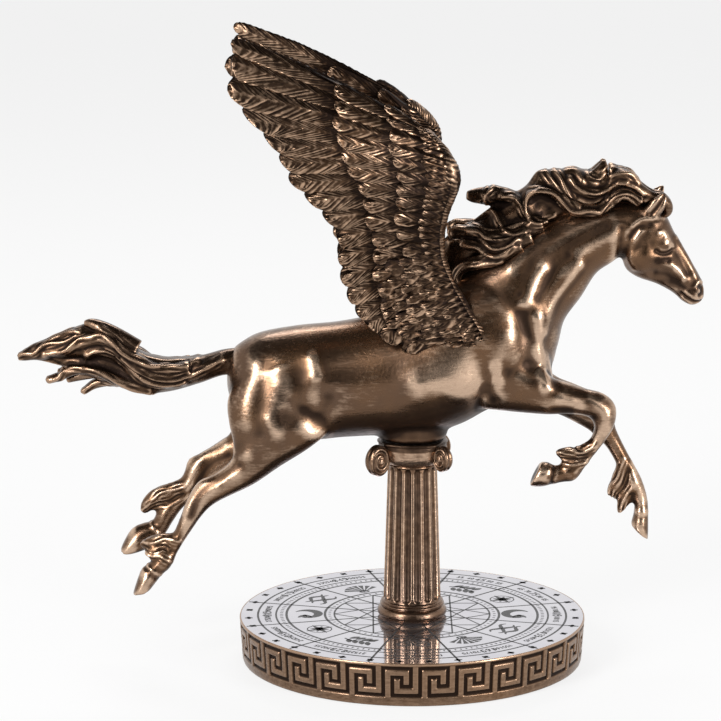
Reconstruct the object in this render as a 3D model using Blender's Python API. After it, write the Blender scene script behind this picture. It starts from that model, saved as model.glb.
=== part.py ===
"""Winged horse figurine, cold-cast bronze: a prancing horse on a fluted column over a round base with a dial.

The world is in metres. The tables are in millimetres. The base rests on the floor with its centre at the origin, and
the horse faces +X. The horse and its wings are drawn in a frame of their own, whose origin is the middle of the
column's top, so they follow when the base or the column changes.
"""

import math

import bmesh
import bpy
import numpy as np
from mathutils import Vector

MM = 0.001

# Driving dimensions, in millimetres
BASE_DIAMETER = 132.0
BASE_HEIGHT = 17.1
COLUMN_HEIGHT = 69.0
COLUMN_DIAMETER = 21.8
COLUMN_TOP_DIAMETER = 18.6
FOOT_DIAMETER = 26.4
FLUTES = 16
KEY_UNITS = 30
KEY_DEPTH = 0.7
KEY_TURN = 7.3
PLATE_THICKNESS = 1.0
PAD_THICKNESS = 1.2
LIP_WIDTH = 1.1
GAP = 0.3
PLATE_SIDES = 48
PAD_SIDES = 40
PEG_RADIUS = 6.0
DOWEL_RADIUS = 4.0
DOWEL_LENGTH = 8.0
CAPITAL_TURN = -6.0
VOLUTE_RADIUS = 4.4
ABACUS_SIDE = 22.0
SCROLL_REACH = 14.8
BASE_DRAFT = 1.2
LEFT_SWEEP = 3.0
LEFT_SPREAD = 6.0
SWEEP_START = 22.0
SWEEP_LENGTH = 12.0
SPREAD_START = 110.0
SPREAD_LENGTH = 44.0
SHOULDER_HEIGHT = 52.0
SHOULDER_BLEND = 14.0
PAD_MARGIN = 4.0
KEY_BOTTOM = 3.8
KEY_TOP_MARGIN = 1.4
RIM_ROUND = 0.6
PLATE_DROP = 0.3
PEG_DEPTH = 8.0
FLUTE_START = 7.6
FLUTE_END = 10.4
FLUTE_DEPTH = 1.3
FLUTE_ROUND = 2.0
ABACUS_HEIGHT = 2.4
SCROLL_DROP = 6.2

# Places that follow from them
BASE_RADIUS = BASE_DIAMETER / 2
PLATE_RADIUS = BASE_RADIUS - LIP_WIDTH - GAP
PLATE_TOP = BASE_HEIGHT - PLATE_DROP
PLATE_FLOOR = PLATE_TOP - PLATE_THICKNESS - GAP
COLUMN_FOOT = PLATE_TOP + GAP
COLUMN_TOP = COLUMN_FOOT + COLUMN_HEIGHT
PEG_END = PLATE_FLOOR - PEG_DEPTH
HORSE_ORIGIN = Vector((0, 0, COLUMN_TOP * MM))

# Body of the horse: each rung runs from the belly line to the back line as x, z, x, z, half width, y of its middle
TRUNK = [
    (-70, 20, -70, 28, 4, 0),
    (-68, 13, -68, 34, 10, 0),
    (-63, 7, -64, 37.5, 14.5, 0),
    (-55, 1.5, -57, 41, 18.5, 0),
    (-43, -0.5, -43, 43.5, 20.5, 0),
    (-28, 0.8, -28, 45, 20.5, 0),
    (-13, 1.6, -13, 48, 21.5, 0),
    (3, 1.6, 2, 53, 22.5, 0),
    (18, 6, 14, 62, 22.5, 0),
    (30, 12.3, 26, 68, 21.5, 0),
    (40, 13.5, 34, 68, 20, 0),
    (48, 15, 40, 62, 17, 0),
    (53, 24, 46, 54, 12, 0),
]
NECK = [
    (30, 20, 6, 56, 19, 0),
    (50, 26, 20, 68, 18, 0),
    (54.5, 36, 32, 76, 16.5, 0),
    (57, 46, 42, 80.5, 14, 0),
    (63, 54.5, 51, 85, 12, 0),
    (68.5, 63.5, 59, 88.5, 10.5, 0),
    (74, 67.5, 68, 90.5, 9.3, 0),
    (79, 71, 77, 91.5, 8.8, 0),
    (84, 73, 85, 91, 7.5, 0),
]
HEAD = [
    (79, 75, 83, 91.5, 7.4, 0),
    (78.5, 69, 89.5, 90.5, 8.6, 0),
    (80, 65, 94.5, 86, 8.8, 0),
    (84.5, 62, 97.5, 80, 8, 0),
    (90.5, 60, 101, 74, 6.4, 0),
    (95, 57.8, 104.5, 68, 5.4, 0),
    (98.5, 55.5, 107.5, 63, 5, 0),
    (100.5, 53.5, 109.5, 58.5, 5, 0),
    (103, 52, 109.8, 55.5, 4.2, 0),
    (105, 51.5, 109, 53.2, 2.8, 0),
]
RIGHT_HIND = [
    (-66, 26, -34, 36, 9, 9),
    (-69.5, 18, -31, 18, 9.5, 11),
    (-69.3, 10, -31.5, 8, 9, 12.5),
    (-67.5, 1, -37, 1, 8, 13.5),
    (-68, -5, -50, -7.5, 6.2, 14),
    (-74.5, -10.5, -60, -14.5, 5, 14),
    (-80, -13, -73, -21, 4.3, 14),
    (-84, -18.5, -79.3, -25, 4, 14),
    (-88, -29, -84, -31.5, 3, 14),
    (-92, -37, -88.2, -40, 3, 14),
    (-96.5, -42, -91.3, -46.5, 4.2, 14),
    (-100, -45.5, -94.5, -49.5, 3.8, 14),
    (-102.3, -47, -96, -51.5, 4.4, 14),
    (-104.3, -52, -98, -54, 4.9, 14),
    (-106, -57.5, -99.5, -56, 5.2, 14),
]
LEFT_HIND = [
    (-66, 26, -34, 36, 9, -9),
    (-69.5, 16, -31, 16, 9.5, -11),
    (-69, 6, -33, 5, 8.6, -12.5),
    (-69.5, -1, -44, -5, 7, -13.5),
    (-74, -5, -57, -13, 5.5, -14),
    (-79.5, -9.5, -68, -19, 4.6, -14),
    (-84, -11, -78, -23, 4.2, -14),
    (-87, -17, -83.5, -27, 3.6, -14),
    (-91, -22.5, -88, -30, 3.2, -14),
    (-97.5, -26, -93, -36, 4, -14),
    (-103, -31, -97, -40, 3.8, -14),
    (-106.5, -36.5, -98.5, -42, 4.4, -14),
    (-109.5, -42, -102, -46, 4.9, -14),
    (-113, -49, -105.5, -48, 5.2, -14),
]
RIGHT_FORE = [
    (26, 44, 26, 14, 8, 11),
    (38, 40, 38, 13, 8.5, 12.5),
    (50, 28, 49.5, 12.5, 7, 14),
    (57, 25, 57, 12.8, 5.8, 14),
    (64, 22.5, 63.5, 12.2, 5, 14),
    (71.5, 20.5, 67, 10.5, 4.8, 14),
    (76, 15.5, 67.8, 7.5, 4.7, 14),
    (75.5, 8.5, 67.2, 5, 4.2, 14),
    (72.5, 3, 65.5, 1.5, 3.5, 14),
    (68, -3, 62.5, -1, 3.1, 14),
    (64.5, -8, 59, -4.5, 3, 14),
    (61, -12.8, 56, -6.5, 3.9, 14),
    (56.5, -13.5, 54.5, -7, 3.4, 14),
    (51, -14.8, 53, -7, 4.2, 14),
    (47, -15.4, 51, -6, 4.7, 14),
    (43.5, -15, 48, -5.5, 5, 14),
]
LEFT_FORE = [
    (26, 42, 28, 15, 8, -11),
    (42, 32, 42, 8.5, 8.5, -12.5),
    (54, 21.5, 54.5, 6.5, 6.6, -14),
    (62, 18, 62, 3, 5.3, -14),
    (71.5, 13.5, 68, -0.5, 4.8, -14),
    (76.5, 6.5, 70, -2.8, 4.6, -14),
    (77.8, 1, 71.5, -4, 4, -14),
    (80.5, -5, 74.5, -7, 3.2, -14),
    (84.2, -12, 78.5, -14, 3.1, -14),
    (88, -19, 81.8, -21, 3.9, -14),
    (90.3, -26, 84.5, -26, 3.4, -14),
    (90.8, -31, 85.5, -30.5, 3.8, -14),
    (91, -37, 84.8, -34.5, 4.5, -14),
    (91, -44, 84, -37.5, 5, -14),
]
TAIL = [
    (-66, 24, -64, 36, 5, 0),
    (-71, 24, -70, 33, 5, 0),
    (-80.5, 21, -80, 31, 6, 0),
    (-90, 18, -88, 30, 7, 0),
    (-98, 16.5, -95.5, 31, 7.5, 0),
    (-105, 17, -103, 33.5, 8, 0),
    (-112, 19, -113, 41, 7.5, 0),
    (-120, 21, -123, 45, 6.5, 0),
    (-127, 24, -131, 42, 5.5, 0),
    (-134, 27, -138, 37.5, 4, 0),
    (-142, 28.5, -145, 34.2, 2.6, 0),
    (-150, 28.6, -150.8, 30, 0.9, 0),
]
MANE = [
    (8, 55, 8, 66, 3, 0),
    (15, 58, 11.5, 78, 4.5, 0),
    (22, 64, 21, 84, 5.5, 0),
    (30, 68, 29, 88, 6.5, 0),
    (37, 73, 37.5, 91, 7, 0),
    (44, 77, 43, 99.5, 7, 0),
    (51, 80.5, 49.5, 104, 6.5, 0),
    (60, 84.5, 60, 105, 6, 0),
    (66, 86.5, 66.5, 104, 5.4, 0),
    (71, 87.5, 70, 102, 5.2, 0),
    (77, 88, 77.5, 104.5, 4.5, 0),
    (84, 89, 87, 97, 3.4, 0),
]

# Locks: each row is x, z, y of the middle line, half height across the lock, half width
TAIL_LOCKS = [
    [(-80, 29, 3, 3, 4), (-95, 27, 5, 4, 4), (-108, 34, 5, 4, 3.5), (-120, 39, 4, 3.5, 3), (-133, 34, 2, 2, 2),
     (-143, 32, 1, 1, 1)],
    [(-100, 22, -3, 4, 4), (-112, 24, -4, 4, 4), (-120, 21, -3, 3, 3), (-127, 15.8, -2, 1, 1)],
    [(-104, 24, 3, 4, 4), (-118, 28, 5, 4, 3.5), (-129, 24, 4, 2.6, 2.6), (-139, 21.3, 3, 0.9, 0.9)],
    [(-80, 27, -4, 3, 3), (-97, 23, -5, 4, 4), (-110, 30, -5, 4, 3.5), (-124, 34, -4, 3.5, 3), (-136, 30, -2, 2, 2)],
]
MANE_LOCKS = [
    [(52, 97, 0, 5, 5), (42, 97.5, 0, 3.6, 4), (34, 95, 0, 2.6, 3), (27, 93.6, 0, 2.2, 2.4), (19.3, 92, 0, 1, 1)],
    [(84, 90, 5, 2, 2), (76, 95, 6.5, 3, 2.2), (67, 94, 7, 3, 2.4), (60, 98, 7, 3, 2.4), (52, 94, 7.5, 3, 2.4),
     (45, 96, 7.5, 2.4, 2)],
    [(80, 88, 6, 2, 2), (70, 89, 8, 3, 2.4), (60, 87, 9, 3, 2.4), (52, 91, 8.5, 3, 2.4), (43, 87, 8.5, 3, 2.4),
     (34, 84, 8, 2.4, 2), (24, 86, 6, 1.4, 1.4)],
    [(58, 84, 9, 2, 2), (48, 84, 10.5, 3, 2.4), (40, 80, 10.5, 3, 2.4), (30, 78, 9.5, 2.6, 2), (18, 80, 6, 1.6, 1.6)],
    [(44, 78, 11, 2, 2), (34, 73, 12, 2.6, 2), (24, 72, 10, 2.6, 2), (16, 64, 7.5, 2, 1.6), (13, 58, 6.5, 1, 1)],
    [(66, 98, 2, 3, 3), (69.5, 102, 2, 2.6, 2.6), (72.5, 106.8, 1, 1.2, 1.2)],
    [(72, 102, 3, 3, 3), (78, 99, 5, 3, 3), (86, 93, 4, 2, 2), (90, 90, 2, 1.6, 1.6)],
]
TUFTS = [
    [(-92, -44, 14, 4, 3.6), (-97.5, -40, 14, 3, 3), (-103, -37, 14, 1, 1)],
    [(-94, -31, -14, 4, 3.6), (-99.5, -28.5, -14, 3.2, 3), (-105, -30.5, -14, 1.8, 1.6)],
    [(59, -8, 14, 3.6, 3.6), (56, -4.5, 14, 2.6, 2.6), (52.5, -1, 14, 1, 1)],
    [(85, -20, -14, 3.6, 3.6), (80, -23, -14, 3, 2.8), (75.5, -24.5, -14, 1, 1)],
    [(85, -23, -14, 3.6, 3.2), (83, -27, -14, 2.6, 2.4), (82, -30, -14, 1, 1)],
]
EARS = [
    [(87, 88, 6, 3.2, 2.4), (89.5, 91.5, 7, 2.4, 1.9), (91.5, 95.5, 7.5, 0.7, 0.7)],
    [(87, 88, -6, 3.2, 2.4), (89.5, 91.5, -7, 2.4, 1.9), (92, 95.5, -7.5, 0.7, 0.7)],
]
# Small rounded swellings: x, z, y, radius
SWELLINGS = [(92.5, 76.5, 6.8, 2.3), (106, 57.8, 3.6, 1.9), (84, 71, 6, 4)]

# Right wing: for each feather the place on the arm bone, on the edge of the coverts and of its tip, as x, z, distance
# from the middle plane. The first is the longest flight feather, and the last lies round the front of the shoulder.
WING_FEATHERS = [
    ((6, 120.5, 37), (-28, 137.5, 25), (-67, 154, 24)),
    ((9, 118, 40), (-28.5, 132.5, 28), (-66.5, 147, 26)),
    ((11.5, 115.5, 43), (-28, 127, 31), (-68, 136.5, 30)),
    ((13.5, 113, 46), (-26.5, 121, 32), (-61, 127, 32)),
    ((15, 110, 47), (-24, 115.5, 33), (-53, 118, 33)),
    ((15.5, 106, 46), (-22, 110, 33), (-48.5, 111, 34)),
    ((14.5, 101.5, 43), (-20, 104.5, 33), (-45, 103.5, 34)),
    ((13, 97, 39), (-18.5, 99, 32), (-38, 96, 33)),
    ((11.5, 91.5, 35), (-17, 92, 30), (-32.5, 89.5, 31)),
    ((10.5, 85.5, 30), (-15.5, 85, 28), (-28, 81.5, 29)),
    ((10.5, 79, 26), (-14.5, 78, 26), (-28, 74, 27)),
    ((11.5, 73, 23), (-14, 71, 24), (-27, 66, 25)),
    ((13.5, 67.5, 21), (-13, 64, 23), (-24.5, 59, 24)),
    ((15.5, 63, 20.5), (-11.5, 57.5, 22), (-21, 52.5, 23)),
    ((18.5, 58, 20), (-10.5, 52, 21.5), (-16.5, 47.5, 22)),
    ((20.5, 54, 20), (-7, 47, 21), (-10.5, 42, 21)),
    ((23, 50, 20), (2.5, 42.5, 20.5), (-1.5, 37.5, 20.5)),
    ((24.5, 46.5, 20), (14.5, 41, 20.5), (11.5, 37, 20.5)),
    ((25.5, 43.5, 20), (21.5, 40.5, 20.3), (20.5, 39, 20.3)),
]
# Half thickness of the wing from the arm bone (0) over the edge of the coverts (0.6) to the tips (1)
WING_SECTION = [
    (0.00, 1.6, 0),
    (0.06, 3.2, 0),
    (0.20, 4.6, 0),
    (0.36, 4.2, 1),
    (0.39, 2.9, 1),
    (0.58, 2.9, 1),
    (0.61, 1.6, 1),
    (0.88, 1.3, 1),
    (1.00, 0.6, 1),
]
# Places across one feather, from its upper edge: share of a feather's width, rise, how far back its tip is
FEATHER_PLACES = [(-0.5, -0.6, 0.11), (-0.24, 0.5, 0.0), (0.26, 0.35, 0.01)]
SEAT = 16.0
SEATED_FEATHERS = 8
POCKET_REACH = 40.0
POCKET_MARGIN = 1.0


def smooth_rows(rows, steps):
    """A Catmull-Rom curve through the rows, with the first and last kept."""
    rows = np.asarray(rows, float)
    padded = np.vstack([2 * rows[0] - rows[1], rows, 2 * rows[-1] - rows[-2]])
    parts = []
    for a, b, c, d in zip(padded, padded[1:], padded[2:], padded[3:]):
        for t in np.arange(steps) / steps:
            straight = 2 * b + (c - a) * t
            bent = (2 * a - 5 * b + 4 * c - d) * t**2 + (3 * b - a - 3 * c + d) * t**3
            parts.append((straight + bent) / 2)
    parts.append(rows[-1])
    return np.array(parts)


def skin(rings):
    """Points and faces of a closed skin over rings of equal counts, with a fan over each end."""
    rings = np.asarray(rings, float)
    count, sides, _ = rings.shape
    points = np.vstack([rings.reshape(-1, 3), rings[0].mean(axis=0), rings[-1].mean(axis=0)])
    first, last = count * sides, count * sides + 1
    faces = []
    for ring in range(count - 1):
        for side in range(sides):
            here, after = ring * sides + side, ring * sides + (side + 1) % sides
            faces.append((here, after, after + sides, here + sides))
    for side in range(sides):
        after = (side + 1) % sides
        faces.append((first, after, side))
        faces.append((last, (count - 1) * sides + side, (count - 1) * sides + after))
    return points, faces


def ladder(rungs, steps=3, sides=18):
    """Skin over oval sections, each as high as its rung."""
    rows = smooth_rows(rungs, steps)
    turn = np.arange(sides) * 2 * math.pi / sides
    middle = (rows[:, 0:2] + rows[:, 2:4]) / 2
    reach = (rows[:, 2:4] - rows[:, 0:2]) / 2
    x = middle[:, :1] + reach[:, :1] * np.cos(turn)
    z = middle[:, 1:] + reach[:, 1:] * np.cos(turn)
    y = -rows[:, 5:6] + rows[:, 4:5] * np.sin(turn)
    return skin(np.stack([x, y, z], axis=2))


def lock(path, steps=3, sides=10):
    """Skin over oval sections square to a path in the upright plane."""
    rows = smooth_rows(path, steps)
    along = np.gradient(rows[:, :2], axis=0)
    along /= np.linalg.norm(along, axis=1, keepdims=True)
    across = np.stack([-along[:, 1], along[:, 0]], axis=1) * rows[:, 3:4]
    low = rows[:, :2] - across
    top = rows[:, :2] + across
    return ladder(np.hstack([low, top, rows[:, 4:5], rows[:, 2:3]]), steps=1, sides=sides)


def ball(x, z, y, radius, sides=12):
    """A small sphere, as turned rings."""
    tilt = np.linspace(0.1, math.pi - 0.1, 8)[:, None]
    turn = (np.arange(sides) * 2 * math.pi / sides)[None, :]
    rings = [np.sin(tilt) * np.cos(turn), np.sin(tilt) * np.sin(turn), np.cos(tilt) + 0 * turn]
    return skin(np.stack(rings, axis=2) * radius + np.array([x, -y, z]))


def mirrored(path):
    """The same lock on the other side of the middle plane."""
    return [(x, z, -y, high, wide) for x, z, y, high, wide in path]


def mesh_of(name, shapes):
    """One mesh of several skins, whose faces look outward."""
    mesh = bpy.data.meshes.new(name)
    points, faces = [], []
    for shape_points, shape_faces in shapes:
        faces += [tuple(index + len(points) for index in face) for face in shape_faces]
        points += [tuple(point * MM) for point in shape_points]
    mesh.from_pydata(points, [], faces)
    work = bmesh.new()
    work.from_mesh(mesh)
    bmesh.ops.recalc_face_normals(work, faces=work.faces)
    work.to_mesh(mesh)
    work.free()
    return mesh


def add_object(name, mesh, origin=Vector((0, 0, 0))):
    body = bpy.data.objects.new(name, mesh)
    bpy.context.scene.collection.objects.link(body)
    body.location = origin
    return body


def evaluated_mesh(body, name):
    """A copy of the object's mesh with its modifiers applied."""
    graph = bpy.context.evaluated_depsgraph_get()
    graph.update()
    mesh = bpy.data.meshes.new_from_object(body.evaluated_get(graph), depsgraph=graph)
    mesh.name = name
    return mesh


def keep_largest_piece(mesh):
    """Removes everything but the piece with the most faces, such as closed hollows inside the casting."""
    work = bmesh.new()
    work.from_mesh(mesh)
    unseen = set(work.faces)
    pieces = []
    while unseen:
        queue = [unseen.pop()]
        piece = list(queue)
        while queue:
            face = queue.pop()
            for edge in face.edges:
                for other in edge.link_faces:
                    if other in unseen:
                        unseen.remove(other)
                        queue.append(other)
                        piece.append(other)
        pieces.append(piece)
    largest = max(pieces, key=len)
    extra = [face for piece in pieces if piece is not largest for face in piece]
    bmesh.ops.delete(work, geom=extra, context="FACES")
    work.to_mesh(mesh)
    work.free()


def cast_in_one(name, shapes, grain, keep):
    """Melts overlapping skins into one casting: grain is the finest detail in millimetres, keep the share of faces."""
    rough = add_object(name + "_rough", mesh_of(name + "_rough", shapes))
    melt = rough.modifiers.new("melt", "REMESH")
    melt.mode = "VOXEL"
    melt.voxel_size = grain * MM
    smooth = rough.modifiers.new("smooth", "SMOOTH")
    smooth.factor = 0.5
    smooth.iterations = 4
    thin = rough.modifiers.new("thin", "DECIMATE")
    thin.ratio = keep
    mesh = evaluated_mesh(rough, name)
    bpy.data.objects.remove(rough)
    keep_largest_piece(mesh)
    return mesh


def cutter(name, mesh, origin=Vector((0, 0, 0))):
    body = add_object(name, mesh, origin)
    body.hide_render = True
    body.display_type = "WIRE"
    return body


def combine(body, other, operation):
    step = body.modifiers.new(other.name, "BOOLEAN")
    step.operation = operation
    step.solver = "EXACT"
    step.object = other


def turned(profile, sides, wave=None):
    """Skin over a profile of radius and height; wave gives each ring's radius change by angle."""
    turn = np.arange(sides) * 2 * math.pi / sides
    rings = []
    for index, (radius, height) in enumerate(profile):
        swell = wave(index, turn) if wave else 0 * turn
        rings.append(np.stack([(radius + swell) * np.cos(turn), (radius + swell) * np.sin(turn), height + 0 * turn], 1))
    return skin(rings)


def material(name, colour, roughness, metallic):
    made = bpy.data.materials.new(name)
    made.use_nodes = True
    shader = made.node_tree.nodes["Principled BSDF"]
    shader.inputs["Base Color"].default_value = (*colour, 1)
    shader.inputs["Roughness"].default_value = roughness
    shader.inputs["Metallic"].default_value = metallic
    return made


def finish(body, look, sharp_angle=40):
    body.data.materials.clear()
    body.data.materials.append(look)
    body.data.shade_smooth()
    body.data.set_sharp_from_angle(angle=math.radians(sharp_angle))


def key_band():
    """Rows of one Greek key unit as outlines on a grid of 8 columns and 7 rows: upper strip, lower strip and groove."""
    upper = [(0, -1), (4, -1), (8, -1), (8, 0), (8, 6), (3, 6), (3, 3), (4, 3), (4, 5), (7, 5), (7, 0), (0, 0)]
    lower = [(1, 7), (1, 1), (6, 1), (6, 4), (5, 4), (5, 2), (2, 2), (2, 7), (8, 7), (9, 7), (9, 8), (5, 8), (1, 8)]
    groove = [(0, 0), (7, 0), (7, 5), (4, 5), (4, 3), (3, 3), (3, 6), (8, 6), (8, 7), (2, 7), (2, 2), (5, 2), (5, 4),
              (6, 4), (6, 1), (1, 1), (1, 7), (0, 7), (0, 6)]
    return upper, lower, groove


def round_base(look):
    """Disc with a Greek key round its side, a recess for the plate, a socket for the column and one for the pad."""
    upper, lower, groove = key_band()
    low_edge, high_edge = KEY_BOTTOM, BASE_HEIGHT - KEY_TOP_MARGIN
    row_height = (high_edge - low_edge) / 7
    columns = KEY_UNITS * 8
    levels = {-1: BASE_HEIGHT - RIM_ROUND, 8: GAP + RIM_ROUND}
    points = {}
    work = bmesh.new()

    def point(column, height, radius):
        key = (column % columns, round(height, 4), round(radius, 4))
        if key not in points:
            angle = 2 * math.pi * key[0] / columns + math.radians(KEY_TURN)
            place = Vector((radius * math.cos(angle), radius * math.sin(angle), height)) * MM
            points[key] = work.verts.new(place)
        return points[key]

    def at_row(row):
        return levels.get(row, high_edge - row * row_height)

    def side(height, inset):
        return BASE_RADIUS - BASE_DRAFT * (1 - height / BASE_HEIGHT) - inset

    def outline(corners, start, inset):
        return [point(start + column, at_row(row), side(at_row(row), inset)) for column, row in corners]

    for unit in range(KEY_UNITS):
        start = unit * 8
        work.faces.new(outline(upper, start, 0))
        work.faces.new(outline(lower, start, 0))
        work.faces.new(outline(groove, start, KEY_DEPTH))
        for a, b in zip(groove, groove[1:] + groove[:1]):
            if {a, b} in ({(8, 6), (8, 7)}, {(0, 7), (0, 6)}):
                continue
            outer = outline([a, b], start, 0)
            inner = outline([b, a], start, KEY_DEPTH)
            work.faces.new(outer + inner)

    def ring(radius, height, shift):
        return [point(step * 4 + shift, height, radius) for step in range(KEY_UNITS * 2)]

    def join(first, second):
        for index in range(len(first)):
            after = (index + 1) % len(first)
            work.faces.new((first[index], first[after], second[after], second[index]))

    recess = BASE_RADIUS - LIP_WIDTH
    socket = PEG_RADIUS + GAP
    top_rings = [
        ring(side(levels[-1], 0), levels[-1], 0),
        ring(BASE_RADIUS - 0.4, BASE_HEIGHT, 0),
        ring(recess, BASE_HEIGHT, 0),
        ring(recess, PLATE_FLOOR, 0),
        ring(socket, PLATE_FLOOR, 0),
        ring(socket, PEG_END - GAP, 0),
    ]
    pad_recess = BASE_RADIUS - PAD_MARGIN
    low_rings = [
        ring(side(levels[8], 0), levels[8], 1),
        ring(side(GAP, RIM_ROUND), GAP, 1),
        ring(pad_recess, GAP, 1),
        ring(pad_recess, PAD_THICKNESS + GAP, 1),
    ]
    for rings in (top_rings, low_rings):
        for first, second in zip(rings, rings[1:]):
            join(first, second)
        work.faces.new(rings[-1])
    bmesh.ops.recalc_face_normals(work, faces=work.faces)
    mesh = bpy.data.meshes.new("round_base")
    work.to_mesh(mesh)
    work.free()
    body = add_object("round_base", mesh)
    finish(body, look, 30)


def felt_pad(look):
    radius = BASE_RADIUS - PAD_MARGIN - GAP
    mesh = mesh_of("felt_pad", [turned([(radius, 0), (radius, PAD_THICKNESS)], PAD_SIDES)])
    finish(add_object("felt_pad", mesh), look)


def dial_plate(look):
    """Thin printed disc with a hole in its middle for the column's peg."""
    turn = np.arange(PLATE_SIDES) * 2 * math.pi / PLATE_SIDES
    hole = PEG_RADIUS + GAP
    bottom = PLATE_TOP - PLATE_THICKNESS
    section = [(hole, bottom), (PLATE_RADIUS, bottom), (PLATE_RADIUS, PLATE_TOP), (hole, PLATE_TOP)]
    points = [np.array([r * math.cos(a), r * math.sin(a), z]) for r, z in section for a in turn]
    faces = []
    for level in range(4):
        for side in range(PLATE_SIDES):
            start = level * PLATE_SIDES
            here, after = start + side, start + (side + 1) % PLATE_SIDES
            up = PLATE_SIDES * (1 if level < 3 else -3)
            faces.append((here, after, after + up, here + up))
    finish(add_object("dial_plate", mesh_of("dial_plate", [(points, faces)])), look)


def column(look):
    """Turned foot, fluted shaft and a capital with four corner scrolls, with a peg below and a hole above."""
    foot, shaft = FOOT_DIAMETER / 2, COLUMN_DIAMETER / 2
    neck = COLUMN_TOP_DIAMETER / 2
    low = COLUMN_FOOT
    flute_low, flute_high = low + FLUTE_START, COLUMN_TOP - FLUTE_END
    profile = [
        (PEG_RADIUS, PEG_END),
        (PEG_RADIUS, low),
        (foot - 0.6, low),
        (foot, low + 1.5),
        (foot - 0.4, low + 3.2),
        (foot - 1.9, low + 4.0),
        (foot - 1.3, low + 5.0),
        (shaft, low + 6.3),
        (shaft, flute_low),
        (shaft, flute_low + FLUTE_ROUND),
        (neck, flute_high - FLUTE_ROUND),
        (neck, flute_high),
        (neck + 0.9, flute_high + 0.7),
        (neck + 0.2, flute_high + 1.6),
        (neck + 1.4, flute_high + 4.4),
        (neck - 0.5, COLUMN_TOP - 2.0),
        (neck - 0.5, COLUMN_TOP - 1.0),
    ]
    depths = {9: FLUTE_DEPTH, 10: FLUTE_DEPTH}

    def flutes(index, turn):
        place = (turn * FLUTES / (2 * math.pi)) % 1
        return -depths.get(index, 0) * (abs(place - 0.5) > 0.3).astype(float)

    sides = FLUTES * 3
    body = add_object("column", mesh_of("column", [turned(profile, sides, flutes)]))

    abacus = bpy.data.meshes.new("abacus")
    work = bmesh.new()
    bmesh.ops.create_cube(work, size=1)
    bmesh.ops.scale(work, vec=Vector((ABACUS_SIDE, ABACUS_SIDE, ABACUS_HEIGHT)) * MM, verts=work.verts)
    bmesh.ops.bevel(work, geom=list(work.edges), offset=0.5 * MM, segments=1, affect="EDGES")
    work.to_mesh(abacus)
    work.free()
    slab = cutter("abacus", abacus, Vector((0, 0, (COLUMN_TOP - ABACUS_HEIGHT / 2) * MM)))
    slab.rotation_euler.z = math.radians(CAPITAL_TURN)
    combine(body, slab, "UNION")
    for corner in range(4):
        angle = math.radians(CAPITAL_TURN + 45 + 90 * corner)
        disc = mesh_of("scroll", [scroll_disc()])
        scroll = cutter(f"scroll_{corner + 1}", disc)
        height = COLUMN_TOP - SCROLL_DROP
        scroll.location = Vector((SCROLL_REACH * math.cos(angle), SCROLL_REACH * math.sin(angle), height)) * MM
        scroll.rotation_euler.z = angle
        combine(body, scroll, "UNION")
    hole = mesh_of("dowel_hole", [turned([(DOWEL_RADIUS + GAP, -DOWEL_LENGTH - GAP), (DOWEL_RADIUS + GAP, 2)], 20)])
    combine(body, cutter("dowel_hole", hole, HORSE_ORIGIN), "DIFFERENCE")
    finish(body, look)


def scroll_disc():
    """Scroll of the capital as a disc whose axis lies level, square to the diagonal, with a raised eye."""
    profile = [(1.3, -2.2), (3.0, -1.7), (3.9, -2.1), (4.4, -1.4), (4.4, 1.4), (3.9, 2.1), (3.0, 1.7), (1.3, 2.2)]
    points, faces = turned([(r * VOLUTE_RADIUS / 4.4, h) for r, h in profile], 12)
    return points[:, [0, 2, 1]], faces


def wing_grid(side):
    """Rows of points on the outer and inner face of a wing."""
    control = smooth_wing()
    count = len(WING_FEATHERS)
    places, rises, setbacks = [], [], []
    for feather in range(count):
        for share, rise, back in FEATHER_PLACES:
            places.append(feather + share)
            rises.append(rise)
            setbacks.append(back)
    places.append(count - 0.5)
    rises.append(-0.6)
    setbacks.append(0.1)
    places = np.clip(np.array(places), -0.5, count - 0.75)
    outer, inner = [], []
    for place, rise, back in zip(places, rises, setbacks):
        bone, edge, tip = control(place)
        row_out, row_in = [], []
        for along, half, relief in WING_SECTION:
            reach = along - back * (along > 0.3) * (1 if along > 0.9 else 0.4)
            middle = on_rung(bone, edge, tip, reach)
            if side < 0:
                middle = swept(middle)
            lift = relief * rise
            room = shoulder_room(middle)
            low = max(middle[2] - half - lift * 0.7 * room, SEAT)
            high = middle[2] + half + lift
            row_out.append((middle[0], -side * high, middle[1]))
            row_in.append((middle[0], -side * low, middle[1]))
        outer.append(row_out)
        inner.append(row_in)
    return np.array(outer), np.array(inner)


def swept(place):
    """The left wing leans back and out a little more than the right one."""
    away = min(max((place[2] - SWEEP_START) / SWEEP_LENGTH, 0), 1)
    high = max((place[1] - SPREAD_START) / SPREAD_LENGTH, 0)
    return place + np.array([-LEFT_SWEEP * away, 0, LEFT_SPREAD * high])


def shoulder_room(middle):
    """0 where the wing lies on the shoulder, 1 where it stands free of the body."""
    return min(max((middle[1] - SHOULDER_HEIGHT) / SHOULDER_BLEND, 0), 1)


def on_rung(bone, edge, tip, along):
    """Point on the bent line from the bone through the edge of the coverts, at 0.6, to the tip."""
    a = (along - 0.6) * (along - 1) / 0.6
    b = along * (along - 1) / (0.6 * -0.4)
    c = along * (along - 0.6) / 0.4
    return a * bone + b * edge + c * tip


def smooth_wing():
    """Gives the three points of a rung at any place between the feathers."""
    table = np.array(WING_FEATHERS, float).reshape(len(WING_FEATHERS), 9)

    def control(place):
        index = min(max(int(math.floor(place)), 0), len(table) - 2)
        share = place - index
        row = table[index] * (1 - share) + table[index + 1] * share
        return row[0:3], row[3:6], row[6:9]

    return control


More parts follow.
